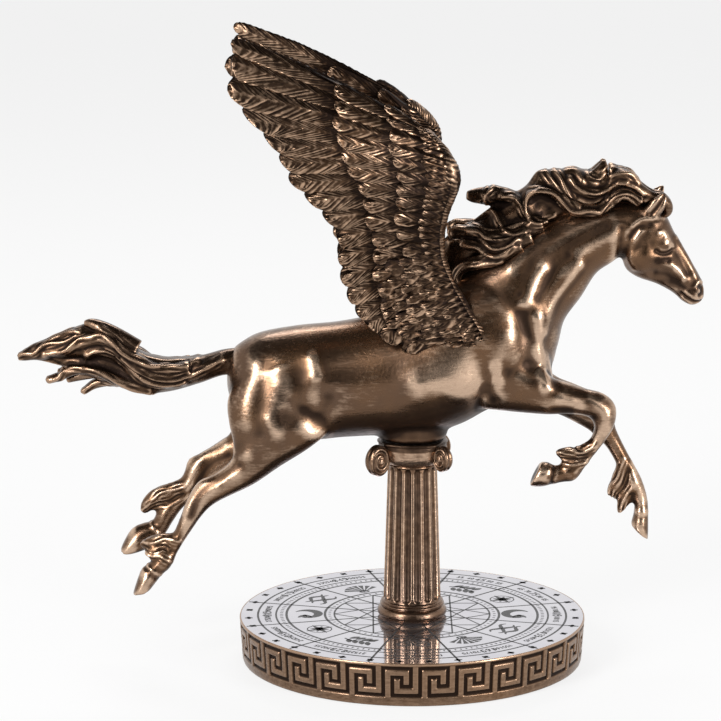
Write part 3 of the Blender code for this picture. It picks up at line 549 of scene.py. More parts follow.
def splitIn(shell, low, high):
    # halves every edge inside a box, so that its faces become four smaller ones
    work = bmesh.new()
    mesh = meshOf("split", shell)
    work.from_mesh(mesh)
    bpy.data.meshes.remove(mesh)
    low, high = Vector(low) * 0.001, Vector(high) * 0.001

    def inside(vertex):
        return all(low[i] < vertex.co[i] < high[i] for i in range(3))

    chosen = [edge for edge in work.edges if inside(edge.verts[0]) and inside(edge.verts[1])]
    bmesh.ops.subdivide_edges(work, edges=chosen, cuts=1, use_grid_fill=True)
    bmesh.ops.triangulate(work, faces=[face for face in work.faces if len(face.verts) > 4])
    work.verts.index_update()
    points = np.array([vertex.co for vertex in work.verts]) * 1000
    quads = np.array([[v.index for v in face.verts] for face in work.faces if len(face.verts) == 4], int)
    triangles = [[v.index for v in face.verts] for face in work.faces if len(face.verts) == 3]
    work.free()
    return [points, quads, np.array(triangles, int).reshape(-1, 3)]


def buildBody():
    parts = ("trunk", "neck", "head", "rightHind", "leftHind", "rightFore", "leftFore")
    shells = [ladder(horseBody[part]) for part in parts]
    shells += [lock(path) for path in bodyTufts + bodyEars]
    for x, z, y, radius in bodyBumps:
        shells += [ball(x, z, y, radius), ball(x, z, -y, radius)]
    turn = fullTurn(48)
    boss = np.array(horseBody["boss"])
    shells.append(tube(turnedRings(boss[:, :1], boss[:, 1:], turn)))
    skin = relaxed(fused(shells, horseBody["grain"]), horseBody["softening"])
    for low, high in horseBody["finer"]:
        skin = splitIn(skin, low, high)
    # the head is smoothed more than the rest
    head = np.clip((skin[0][:, 0] - 74) / 4, 0, 1) * np.clip((skin[0][:, 2] - 48) / 4, 0, 1)
    skin = relaxed(skin, 3, head)
    skin = carved(skin, muscles, wide=horseBody["muscleWidth"], high=horseBody["muscleHeight"])
    return relaxed(carved(relaxed(skin, 1), fetlockHair, fine=horseBody["hairFine"]), 1)


print("scene: horse body")
body = buildBody()
print("scene: body has", len(body[1]) * 2 + len(body[2]), "triangles")


# The mane: a core of rungs, locks that stand clear of it, and drawn strands
mane = {
    "grain": 0.36,
    "width": 2.2,  # of the drawn strands, against the width in the list
    "mirrored": True,
    "core": [
        (8, 55, 8, 64, 3, 0),
        (14, 58, 11.5, 76, 4.5, 0),
        (22, 63, 20, 82, 6, 0),
        (30, 69, 28.6, 88.6, 7.2, 0),
        (37, 75, 36.4, 93.6, 7.6, 0),
        (43, 78.5, 42, 97, 8, 0),
        (48, 81, 46.4, 102.6, 7.8, 0),
        (53, 83, 52, 103, 7.6, 0),
        (60, 85.5, 60, 103.6, 7.4, 0),
        (66, 87, 66.3, 102.6, 7.2, 0),
        (71, 88, 70, 101, 6.8, 0),
        (77, 88.5, 77.5, 103.4, 6, 0),
        (84, 89, 85, 97.4, 4.6, 0),
    ],
    "locks": [
        [(52, 94, 0, 4.4, 6.4), (45, 92.6, 0, 4, 6), (39, 91, 0, 3.8, 5.2), (33, 92.6, 0, 4.0, 4.4),
         (27, 93.1, 0, 3.5, 3.4), (22.4, 93.1, 0, 2.7, 2.5), (19.8, 93.2, 0, 1.6, 1.4)],
        [(66, 99, 2, 3, 3), (69, 102.4, 2.4, 2.4, 2.6), (70.6, 105, 2.2, 1.7, 1.8), (70.9, 106.9, 1.6, 0.8, 0.8)],
        [(73, 100.5, 2, 4, 4), (78, 100, 3, 3.6, 3.6), (83.6, 96.4, 3.4, 2.4, 2.6), (88.2, 93.2, 3, 2.4, 2.4),
         (91.8, 92, 2.4, 2.8, 2.8), (94.4, 90.2, 1.8, 2.3, 2.4), (94.9, 87.6, 1.2, 2, 2), (93.8, 85.4, 0.8, 1.2, 1.4)],
        [(48, 84, 8, 3, 2.6), (40, 81.6, 9, 3.2, 2.6), (31, 79.2, 9, 3, 2.4), (21, 80.8, 7.4, 2.4, 2),
         (13.4, 79.6, 5.6, 1.6, 1.6)],
        [(44, 79.5, 10, 2.6, 2.2), (35, 76.5, 10.6, 2.8, 2.4), (27, 75.5, 9.6, 2.6, 2.2), (18, 77, 7.4, 1.8, 1.8)],
        [(40, 76.5, 11, 2, 2), (31, 71.8, 11.6, 2.4, 2), (23, 69.6, 9.8, 2.4, 2), (17, 66, 8, 2, 1.6),
         (15.6, 61, 7, 1.3, 1.2)],
        [(84.5, 91.6, 6.2, 2, 1.8), (78, 95, 7.4, 2.2, 1.8), (73, 91.8, 8, 2.2, 1.8), (68, 88.9, 8.2, 2.1, 1.8),
         (60, 89.4, 8.4, 2.3, 1.9), (54, 93.2, 8.2, 2.1, 1.7), (48, 96, 7.8, 1.8, 1.5), (43, 94, 7.6, 1.5, 1.3),
         (42, 90, 7.8, 1.4, 1.3), (44.4, 86, 8.2, 1.4, 1.3), (50, 85.2, 8.6, 1.1, 1)],
    ],
    # line, radius, height, side, spacing of the fine hair lines
    "strands": [
        ([(27.5, 86), (31, 88.4), (34, 86), (37, 84.5)], 2.2, -1.6, 0),
        ([(44.6, 90.6), (48, 91.2), (50.6, 89)], 2.6, -1.7, 0),
        ([(74.5, 91), (79, 92)], 2.2, -2.0, 0),
        ([(45, 99.6), (49, 99.8)], 2.2, -0.8, 0),
        ([(24.6, 91.3), (27.9, 95.1), (31.7, 97.4)], 0.7, 0.8, 0, 1.1),
        ([(26.3, 93.5), (27.1, 90.2), (29.6, 88), (32.9, 83), (36.7, 80.6), (41.1, 81.3)], 0.7, 1.1, 0, 1.2),
        ([(32.8, 93.5), (36.6, 93.2), (39.4, 91.3), (41, 88), (43.8, 85.2), (47.6, 84.4), (52.5, 86)],
         0.7, 1.1, 0, 1.2),
        ([(43.8, 85.2), (41.8, 88), (41.7, 91.3), (42.6, 94.6), (45.3, 96), (48.6, 96.2), (51.9, 95.4), (54.6, 92.7),
          (57.9, 89.6), (61.2, 88.8), (63.9, 89.1), (69.4, 88.5)], 0.7, 1.2, 0, 1.2),
        ([(43.7, 90.7), (44.8, 88), (47, 85.7), (51.4, 86.3)], 0.6, 0.9, 0),
        ([(47.4, 104.8), (49.6, 102.3), (52.4, 99), (55.1, 95.7), (57.3, 92.4), (60.1, 89.6)], 0.7, 0.9, 0, 1.2),
        ([(50.7, 104), (54, 101.2), (56.2, 96.8), (58.4, 93.5), (61.2, 90.2)], 0.8, 1.1, 0, 1.3),
        ([(57.2, 103.7), (59.9, 102.9), (61.6, 101.2), (62.7, 99.8)], 0.7, 0.9, 0),
        ([(58.3, 100.1), (60.5, 97.4), (64.4, 95.4), (68.7, 95.1), (72, 96.2), (75.8, 98.5), (79, 98.7)],
         0.7, 1.1, 0, 1.2),
        ([(61.1, 92.9), (63.9, 91.6), (67.2, 91.3), (70.4, 92.9)], 0.7, 0.8, 0),
        ([(64.8, 101.2), (68.7, 100.1), (71.4, 102.3), (74.6, 104.5)], 0.7, 0.9, 0, 1.2),
        ([(70.3, 99.8), (73.5, 101.5), (77.3, 102.3), (81.2, 101.5), (83.9, 99)], 0.7, 0.9, 0, 1.2),
        ([(69.4, 88.5), (72.1, 91.3), (74.7, 94), (78, 95.1), (81.3, 94.6), (84, 92.7), (86.2, 91.3)],
         0.7, 1.2, 0, 1.1),
        ([(72, 93.5), (73.6, 96.8), (78.5, 97.9), (82.3, 97.1), (85.1, 94.6)], 0.7, 0.9, 0),
        ([(12.2, 78.5), (14.3, 81.3), (16.5, 82), (20.3, 81.6), (24.2, 81), (26.9, 79.1), (30.2, 78.5), (33.5, 78.5),
          (36.7, 79.9)], 0.7, 1.0, 0, 1.2),
        ([(25.3, 78.5), (28, 76), (31.3, 75.2), (35.1, 76.3), (38.4, 79.1)], 0.7, 1.0, 0, 1.1),
        ([(13.8, 75.8), (16.6, 76.6), (20.4, 75.8), (24.2, 75.2), (27, 73), (30.2, 72.3), (33.5, 73.5), (36.8, 76.3)],
         0.7, 1.0, 0, 1.2),
        ([(16.1, 61.8), (16.1, 64.1), (17.7, 66.9), (20.4, 68.5), (24.3, 69.1), (28.1, 69.9), (32.4, 70.8)],
         0.6, 0.9, 0, 1.1),
    ],
}

tail = {
    "grain": 0.36,
    "width": 2.0,
    "mirrored": False,
    "core": [
        (-62, 24, -62, 35, 5, 0),
        (-71, 24.6, -70, 34.6, 5, 0),
        (-80.5, 21.4, -80, 32, 6, 0),
        (-90, 18.6, -88, 31.2, 7, 0),
        (-98, 17.6, -95.5, 31.6, 7.5, 0),
        (-105, 18.2, -103, 34, 8, 0),
        (-111, 20.4, -112, 40.6, 7.5, 0),
        (-119, 23, -121, 44.6, 6.5, 0),
        (-127, 26.5, -129, 42, 5.5, 0),
        (-134, 28.4, -136.6, 38.6, 4.2, 0),
        (-141.5, 30.2, -143, 36.6, 3, 0),
        (-146.4, 30, -147.8, 33, 1.6, 0),
        (-148.4, 30.2, -148.8, 31, 0.6, 0),
    ],
    "locks": [
        [(-104, 35, 3, 4, 4), (-113, 41, 3.4, 3.4, 3.4), (-120, 44.6, 2.6, 2.2, 2.6), (-123.6, 45, 2, 1, 1.2)],
        [(-84, 28, 4, 3, 3.6), (-95, 26.6, 5, 3, 3.6), (-104, 31, 6, 3, 3.2), (-111, 36.6, 6, 2.6, 2.8),
         (-118, 39.2, 5, 2.4, 2.6), (-126, 36.4, 4, 2.2, 2.2), (-133, 33.4, 3, 1.8, 1.8), (-138, 32.4, 2.4, 0.9, 0.9)],
        [(-84, 28, -4, 3, 3.6), (-95, 26.6, -5, 3, 3.6), (-104, 31, -6, 3, 3.2), (-111, 36.6, -6, 2.6, 2.8),
         (-118, 39.2, -5, 2.4, 2.6), (-126, 36.4, -4, 2.2, 2.2), (-133, 33.4, -3, 1.8, 1.8),
         (-138, 32.4, -2.4, 0.9, 0.9)],
        [(-98, 21.6, 3, 3.4, 4), (-108, 23.6, 4.6, 3, 3.6), (-117, 26.8, 5, 2.4, 3), (-126, 27.6, 4.4, 2, 2.4),
         (-132.6, 24.8, 3.6, 1.6, 1.8), (-137.4, 23.2, 3, 1.1, 1.1)],
        [(-98, 21.6, -3, 3.4, 4), (-110, 24, -4.6, 3, 3.6), (-120, 27, -4.6, 2.4, 3), (-128, 26.4, -4, 1.8, 2.2),
         (-134, 25, -3.4, 1, 1)],
        [(-102, 21, -1, 3, 4), (-112, 22.4, -2, 2.6, 3.4), (-119.6, 20.8, -2, 1.9, 2.4), (-124.8, 17.4, -2, 1.1, 1.3)],
        [(-116, 27, 0, 3, 3.4), (-124, 25, 0, 2.4, 2.6), (-130.6, 22.4, 0, 1.1, 1.2)],
    ],
    "strands": [
        ([(-86, 25.5), (-93, 26), (-100, 28)], 1.6, -0.9, 0),
        ([(-125, 31.5), (-131, 30.6), (-136, 30.4)], 1.4, -1.6, 0),
        ([(-110, 29), (-117, 31.6), (-122, 31)], 1.8, -1.2, 0),
        ([(-138.4, 33), (-135, 33.8), (-130.3, 35), (-127.4, 37.4), (-124.5, 39.4), (-121.1, 40.3), (-118.2, 40.9),
          (-115.3, 40.3), (-111.9, 37.9), (-109.1, 35), (-105.7, 32.7), (-100.5, 30.3), (-94.2, 29.1), (-87.3, 29.1),
          (-81, 30.6)], 0.7, 1.0, 0, 1.2),
        ([(-122.3, 33.2), (-119.4, 34.7), (-114.8, 35), (-111.4, 33.5), (-108.6, 30.6), (-105.7, 28.2), (-102.3, 25.3),
          (-98.3, 22.9), (-93.7, 22), (-86.2, 22.9)], 0.8, 1.1, 0, 1.2),
        ([(-138, 23.2), (-133.4, 24.7), (-130.5, 27.7), (-126.4, 28.8), (-121.8, 28.5), (-117.2, 27.1), (-112.7, 24.7),
          (-107.5, 21.8), (-102.4, 19.6), (-97.8, 18.6)], 0.7, 1.0, 0, 1.2),
        ([(-126, 16.9), (-123.1, 19.4), (-119.6, 21.6), (-116.2, 22), (-111.6, 20.9)], 0.6, 0.6, 0, 1.1),
        ([(-109.1, 32.4), (-106.3, 30), (-103.4, 28.2), (-100, 25.9), (-95.4, 24.1), (-89.1, 24.1), (-82.7, 25.9),
          (-76.9, 28.8), (-71.8, 31.2)], 0.8, 1.1, 0, 1.3),
        ([(-118.1, 44.1), (-113.6, 41.2), (-109.6, 37.4), (-105.1, 34.1), (-99.9, 31.8), (-93, 30.6), (-86.1, 30.6)],
         0.8, 0.5, 0, 1.1),
        ([(-150.5, 31.2), (-146.5, 33), (-142.4, 33.5), (-138.9, 36.5), (-135.4, 38.8), (-130.8, 40.9),
          (-125.1, 41.8)], 0.6, 0.7, 0, 1.1),
        ([(-143.6, 33), (-139.5, 35.9), (-136.1, 37.1), (-130.9, 38.2), (-126.2, 40.6)], 0.6, 0.6, 0, 1.1),
        ([(-100, 21), (-92, 20), (-84, 22.5)], 1.4, -0.5, 0),
    ],
}


# How the strands of mane and tail are carved
strandForm = {"facing": 0.35, "high": 1.25, "crest": 1.5, "fine": 0.24, "summed": False}


def buildHair(hair):
    # locks melted onto a core, then drawn strands with fine lines beside them
    shells = [ladder(hair["core"])] + [lock(path) for path in hair["locks"]]
    if hair["mirrored"]:
        shells += [lock(mirroredPath(path)) for path in hair["locks"]]
    skin = relaxed(fused(shells, hair["grain"]), 4)
    return relaxed(carved(skin, hair["strands"], wide=hair["width"], **strandForm), 1)


print("scene: mane and tail")
maneSkin = buildHair(mane)
tailSkin = buildHair(tail)
print("scene: mane", len(maneSkin[1]) * 2, "tail", len(tailSkin[1]) * 2, "triangles")


# Wings: for each feather its place on the arm bone, on the edge of the coverts and of its tip, as x, z, distance from
# the middle plane. The rows are those of the casting.
wingRows = [
    ((6, 120.5, 37), (-28, 137.5, 25), (-67, 154, 24)),
    ((9, 118, 40), (-28.5, 132.5, 28), (-66.5, 147, 26)),
    ((11.5, 115.5, 43), (-28, 127, 31), (-68, 136.5, 30)),
    ((13.5, 113, 46), (-26.5, 121, 32), (-61, 127, 32)),
    ((15, 110, 47), (-24, 115.5, 33), (-53, 118, 33)),
    ((15.5, 106, 46), (-22, 110, 33), (-48.5, 111, 34)),
    ((14.5, 101.5, 43), (-20, 104.5, 33), (-45, 103.5, 34)),
    ((13, 97, 39), (-18.5, 99, 32), (-38, 96, 33)),
    ((11.5, 91.5, 35), (-17, 92, 30), (-32.5, 89.5, 31)),
    ((10.5, 85.5, 30), (-15.5, 85, 28), (-28, 81.5, 29)),
    ((10.5, 79, 26), (-14.5, 78, 26), (-28, 74, 27)),
    ((11.5, 73, 23), (-14, 71, 24), (-27, 66, 25)),
    ((13.5, 67.5, 21), (-13, 64, 23), (-24.5, 59, 24)),
    ((15.5, 63, 20.5), (-11.5, 57.5, 22), (-21, 52.5, 23)),
    ((18.5, 58, 20), (-10.5, 52, 21.5), (-16.5, 47.5, 22)),
    ((20.5, 54, 20), (-7, 47, 21), (-10.5, 42, 21)),
    ((23, 50, 20), (2.5, 42.5, 20.5), (-1.5, 37.5, 20.5)),
    ((24.5, 46.5, 20), (14.5, 41, 20.5), (11.5, 37, 20.5)),
    ((25.5, 43.5, 20), (21.5, 40.5, 20.3), (20.5, 39, 20.3)),
]
wings = {
    "seat": 16.05,  # distance of the wing's flat seat from the middle plane
    "leftSweep": 5.0,
    "leftSpread": 9.0,
    "tipStart": 147,  # height above which the tips bend lower, and the share by which they do
    "tipDrop": {1: 0.07, -1: 0.18},
    "barbs": 2.3,  # spacing of the barbs along the shaft
    "flights": 19,
    "coverts": 18,
    "innerCoverts": 12,
    "scaleRows": (0.08, 0.2, 0.32, 0.44),
    # For each kind of feather: the lean of its edges, how far the row above hides it, which is where its painted shadow
    # falls, its start and end along the wing, its half width against the spacing, its height over the middle of the
    # wing, its thickness, the heights of its arch, its barbs and its shaft, and how much lighter its tip rim and darker
    # the rest of it are made.
    "columns": ("tilt", "under", "from", "to", "width", "lift", "thick", "camber", "barb", "shaft", "rim"),
    "flight": (0.5, 0.66, 0.2, 1.0, 0.66, 0.0, 0.55, 0.55, 0.34, 0.35, 0.0),
    "greater": (0.6, 0.38, 0.1, 0.63, 0.64, 1.5, 0.8, 0.85, 0.34, 0.35, 0.15),
    "median": (0.6, 0.18, 0.045, 0.36, 0.62, 2.5, 1.2, 1.05, 0.3, 0.3, 0.3),
    "lesser": (0.35, -1.0, 0.015, 0.17, 0.36, 2.6, 1.6, 1.1, 0.14, 0.12, 0.4),
    "scale": (0.3, -1.0, 0.01, 0.2, 0.66, 2.7, 1.7, 1.2, 0.26, 0.1, 0.3),
    # half thickness of the core from the bone to the tips
    "core": [(-0.01, 0.8), (0.03, 1.6), (0.1, 2.0), (0.2, 1.9), (0.34, 1.3), (0.46, 0.7), (0.56, 0.3), (0.7, 0.15),
             (0.84, 0.1)],
    "arm": 3.3,  # radius of the arm along the leading edge, and its swelling by place
    "armSwell": [(-0.75, 0.2), (-0.6, 0.6), (0, 0.85), (4, 1.12), (9, 1.0), (14, 0.85), (17.4, 0.7), (18.3, 0.25)],
}
wingTable = np.array(wingRows, float).reshape(len(wingRows), 9)
wingTable = np.vstack([wingTable[0] - 0.8 * (wingTable[1] - wingTable[0]), wingTable,
                       wingTable[-1] + (wingTable[-1] - wingTable[-2]) * 0.8])
wingCurve = smoothRows(wingTable, 10)


def wingPoint(place, along, side):
    # a curve of second degree through bone, covert edge (0.6) and tip, whose three points come from the rows
    place, along = np.broadcast_arrays(np.asarray(place, float), np.asarray(along, float))
    where = np.clip((place + 1) * 10, 0, len(wingCurve) - 1)
    rows = np.stack([np.interp(where, np.arange(len(wingCurve)), column) for column in wingCurve.T], axis=-1)
    a, b, c = ((along - 0.6) * (along - 1) / 0.6, along * (along - 1) / (0.6 * -0.4), along * (along - 0.6) / 0.4)
    point = a[..., None] * rows[..., 0:3] + b[..., None] * rows[..., 3:6] + c[..., None] * rows[..., 6:9]
    if side < 0:
        away = np.clip((point[..., 2] - 22) / 12, 0, 1)
        high = np.maximum((point[..., 1] - 110) / 44, 0)
        point = point + np.stack([-wings["leftSweep"] * away, 0 * away, wings["leftSpread"] * high], axis=-1)
    point[..., 1] -= wings["tipDrop"][side] * np.maximum(point[..., 1] - wings["tipStart"], 0)
    return np.stack([point[..., 0], -side * point[..., 2], point[..., 1]], axis=-1)


def wingNormal(place, along, side):
    # cross product of the surface's two directions, turned away from the horse
    across = wingPoint(place + 0.05, along, side) - wingPoint(place - 0.05, along, side)
    forward = wingPoint(place, along + 0.01, side) - wingPoint(place, along - 0.01, side)
    normal = np.cross(across, forward)
    normal /= np.maximum(np.linalg.norm(normal, axis=-1, keepdims=True), 1e-9)
    return normal * np.where(normal[..., 1:2] * side > 0, -1, 1)


def seated(points, side):
    # nothing of the wing reaches past the flat seat on the shoulder
    seat = wings["seat"]
    points[..., 1] = np.where(-side * points[..., 1] < seat, -side * seat, points[..., 1])
    return points


def feather(kind, place, side, face, scale=1.0, reach=0.0, twoFaced=False):
    # grid of rows shaped as chevrons, whose rows are raised by turns as barbs: an ellipse rounds the tip, the shaft is
    # a bell curve and the vane is arched across
    form = dict(zip(wings["columns"], wings[kind]))
    chance = np.random.default_rng(int(place * 97 + reach * 1009 + 31 * face + 7 * side + len(kind) * 13) + 5000)
    turn, longer, bolder = chance.uniform(-0.07, 0.07), chance.uniform(-0.02, 0.02), chance.uniform(0.8, 1.2)
    scale = scale * chance.uniform(0.93, 1.06)
    start, end = form["from"] + reach, form["to"] + reach + longer * (kind != "flight")
    ends = wingPoint(place, np.array([start, end]), side)
    length = np.linalg.norm(ends[1] - ends[0])
    halfWay = (start + end) / 2
    span = np.linalg.norm(wingPoint(place + 0.5, halfWay, side) - wingPoint(place - 0.5, halfWay, side))
    half = span * form["width"] * scale
    rows = max(int(2 * length / wings["barbs"]), 10)
    u = np.linspace(0, 1, rows) + chance.uniform(-0.45, 0.45, rows) / rows * (np.arange(rows) % (rows - 1) > 0)
    u = np.sort(u)[:, None]
    beat = chance.uniform(0.25, 1.7, (rows // 2 + 1, 2)).repeat(2, axis=0)[:rows]
    v = np.array([-1, -0.86, -0.5, -0.17, 0, 0.17, 0.5, 0.86, 1])[None, :]
    beat = np.where(v < 0, beat[:, :1], beat[:, 1:])
    tipShare = min(1.15 * half / length, 0.5)
    slant = (np.abs(v) * 2.2 + 0.8 * v**2) * half / length * (1 + 0.22 * np.sin(u * 11 + 40 * turn) + 1.6 * turn * v)
    s = u + slant * np.minimum((1 - u) / 0.22, 1) - slant * np.clip(1 - u / 0.2, 0, 1)
    s = np.minimum(s, 1 - (1 - u) * 0.04 * np.abs(v))
    s = np.clip(s, 0, 1)
    past = np.clip((s - (1 - tipShare)) / tipShare, 0, 1)
    shape = np.sqrt(np.maximum(1 - past**2, 0)) * (0.72 + 0.28 * np.clip(s * 2.2, 0, 1))
    ripple = (np.arange(rows) % 2)[:, None] * 2.0 - 1
    along = start + s * (end - start)
    across = place + v * form["width"] * scale * shape * (1 + 0.03 * ripple) + turn * s
    vane = np.clip((np.abs(v) - 0.1) / 0.1, 0, 1)
    rise = form["camber"] * (1 - v**2) * np.sqrt(shape) + form["shaft"] * np.exp(-(v / 0.12) ** 2) * (1 - 0.6 * s)
    rise = rise * bolder + form["barb"] * ripple * beat * vane * (1 - 0.5 * v**6) + form["tilt"] * v
    middle = wingPoint(across, along, side)
    normal = wingNormal(across, along, side) * face
    fade = np.clip(1.25 - (1 - s) * 0.7, 0.55, 1)
    top = middle + normal * (form["lift"] + rise * fade + form["thick"] * 0.4)[..., None]
    if twoFaced:
        under = middle + normal * (form["lift"] - rise * fade * 0.9 - form["thick"] * 0.4)[..., None]
    else:
        under = middle + normal * (form["lift"] - form["thick"] + 0 * rise)[..., None]
    # tone: barbs, shaft and tip as relief, lighter towards the tip, with a painted highlight on the raised lower edge
    # and painted shade on the tucked upper edge
    tone = 0.85 * ripple * beat * vane + 0.35 * np.exp(-(v / 0.1) ** 2) + 0.7 * np.clip(v, 0, 1) ** 4
    tone = tone - 1.3 * np.clip(-v, 0, 1) ** 2 - 0.2 + 0.35 * s
    # painted shadow below the edge of the row above
    tone = tone - 1.2 * np.clip(1 - (along - form["under"] + 0.03) / 0.07, 0, 1)
    tone = tone + form["rim"] * (2 * np.clip((past - 0.35) / 0.5, 0, 1) - 1)
    columns = slice(-2, 0, -1) if twoFaced else slice(-2, 0, -3)
    rings = np.concatenate([top, under[:, columns]], axis=1)
    # the under face of a one-faced feather is painted dark, as shade
    tones = np.concatenate([tone, (tone if twoFaced else tone * 0 - 0.6)[:, columns]], axis=1)
    shell = tube(seated(rings, side))
    return shell, np.concatenate([tones.ravel(), tones[0].mean(keepdims=True), tones[-1].mean(keepdims=True)])


def wingCore(side):
    # closed skin over the bones, thickest along the arm
    profile = np.array(wings["core"])
    place = np.linspace(-0.45, 18.25, 120)[:, None]
    along = profile[:, 0][None, :] + 0 * place
    middle = wingPoint(place, along, side)
    normal = wingNormal(place, along, side)
    taper = np.clip((place + 0.9) / 1.2, 0.2, 1) * np.clip(18.6 - place, 0.4, 1)
    thick = profile[:, 1][None, :, None] * taper[..., None]
    rings = np.concatenate([middle + normal * thick, (middle - normal * thick)[:, ::-1]], axis=1)
    shell = tube(seated(rings, side))
    # painted shade: the core, hidden between and under the feathers, is dark all over
    return shell, np.full(len(shell[0]), -0.7)


def wingArm(side):
    # tube along the bones, with slanting ridges round it and a small scale pattern
    place = np.linspace(-0.75, 18.3, 330)
    middle = wingPoint(place, 0.035, side)
    forward = np.gradient(middle, axis=0)
    forward /= np.linalg.norm(forward, axis=1, keepdims=True)
    out = wingNormal(place, 0.05, side)
    out -= forward * (out * forward).sum(axis=1, keepdims=True)
    out /= np.linalg.norm(out, axis=1, keepdims=True)
    flat = np.cross(forward, out)
    turn = np.linspace(0, 2 * math.pi, 40, endpoint=False)[None, :]
    walk = np.cumsum(np.linalg.norm(np.gradient(middle, axis=0), axis=1))[:, None]
    ridges = np.cos(walk * 2 * math.pi / 1.5 + 7 * np.sin(turn + 0.6) + np.sin(walk * 0.7))
    ridges = ridges * (0.5 + 0.5 * np.sin(walk * 0.83 + 3 * turn) * np.cos(walk * 0.37 - 2 * turn))
    swell = np.interp(place, *np.array(wings["armSwell"]).T)[:, None]
    radius = wings["arm"] * swell + 0.3 * ridges
    rings = middle[:, None] + out[:, None] * (radius * np.cos(turn))[..., None] + flat[:, None] * (
        radius * 0.8 * np.sin(turn))[..., None]
    shell = tube(seated(rings, side))
    tone = 1.2 * ridges + 0.15
    return shell, np.concatenate([tone.ravel(), [0, 0]])


def buildWing(side):
    coverts, inner = range(wings["coverts"]), range(wings["innerCoverts"])
    flights = [feather("flight", place, side, 1, twoFaced=True) for place in range(wings["flights"])]
    rest = [wingCore(side), wingArm(side)]
    rest += [feather("greater", place + 0.35, side, 1) for place in coverts]
    rest += [feather("median", place + 0.1, side, 1) for place in coverts]
    rest += [feather("lesser", place, side, 1) for place in np.arange(0.1, 18.2, 0.5)]
    for reach in wings["scaleRows"]:
        rest += [feather("scale", place + 2.2 * reach, side, 1, reach=reach) for place in np.arange(10.4, 17.2, 0.8)]
    # the face towards the horse
    rest += [feather("greater", place + 0.35, side, -1) for place in inner]
    rest += [feather("median", place + 0.1, side, -1) for place in inner]
    rest += [feather("lesser", place, side, -1) for place in np.arange(0.1, 12, 0.6)]
    pieces = []
    for group in (flights, rest):
        pieces.append((joined([shell for shell, _ in group]), np.concatenate([tones for _, tones in group])))
    return pieces


print("scene: wings")
rightWing = buildWing(1)
leftWing = buildWing(-1)
print("scene: wing triangles", [len(part[0][1]) * 2 for part in rightWing])


# Shader maths: a wire is a socket that takes part in Python expressions, and each operator adds one Math node
class Wire:
    def __init__(self, finish, socket):
        self.finish, self.socket = finish, socket

    def maths(self, kind, first, second):
        return self.finish.node("ShaderNodeMath", {"operation": kind}, {0: first, 1: second})

    def __add__(self, other):
        return self.maths("ADD", self, other)

    def __radd__(self, other):
        return self.maths("ADD", other, self)

    def __sub__(self, other):
        return self.maths("SUBTRACT", self, other)

    def __rsub__(self, other):
        return self.maths("SUBTRACT", other, self)

    def __mul__(self, other):
        return self.maths("MULTIPLY", self, other)

    def between(self, low, high):
        # 0 below low, 1 above high, and even in between
        return self.finish.node("ShaderNodeMapRange", {"clamp": True}, {0: self, 1: low, 2: high})


class Finish:
    def __init__(self, name):
        self.material = bpy.data.materials.new(name)
        self.material.use_nodes = True
        self.nodes = self.material.node_tree.nodes
        self.links = self.material.node_tree.links
        self.shader = self.nodes["Principled BSDF"]

    def node(self, kind, settings=None, inputs=None, out=0):
        made = self.nodes.new(kind)
        for key, value in (settings or {}).items():
            setattr(made, key, value)
        for key, value in (inputs or {}).items():
            self.plug(made.inputs[key], value)
        return Wire(self, made.outputs[out])

    def plug(self, socket, value):
        if isinstance(value, Wire):
            self.links.new(value.socket, socket)
        elif isinstance(value, tuple) and len(value) == 3 and socket.type == "RGBA":
            socket.default_value = (*value, 1)
        else:
            socket.default_value = value

    def blend(self, factor, first, second):
        # colour mix: first where the factor is 0, second where it is 1
        return self.node("ShaderNodeMix", {"data_type": "RGBA"}, {0: factor, 6: first, 7: second}, out=2)

    def give(self, **values):
        for key, value in values.items():
            self.plug(self.shader.inputs[key.replace("_", " ")], value)
        return self.material


# Antique bronze: dark brown in the hollows, pinkish gold where it is rubbed, with a cloudy patina
# the tone attribute that drives both also carries painted highlights and painted shade on some pieces
bronze = {
    "dark": (0.014, 0.008, 0.006),
    "mid": (0.098, 0.059, 0.038),
    "warm": (0.135, 0.074, 0.040),
    "bright": (0.50, 0.33, 0.22),
    "metallic": 0.95,
}


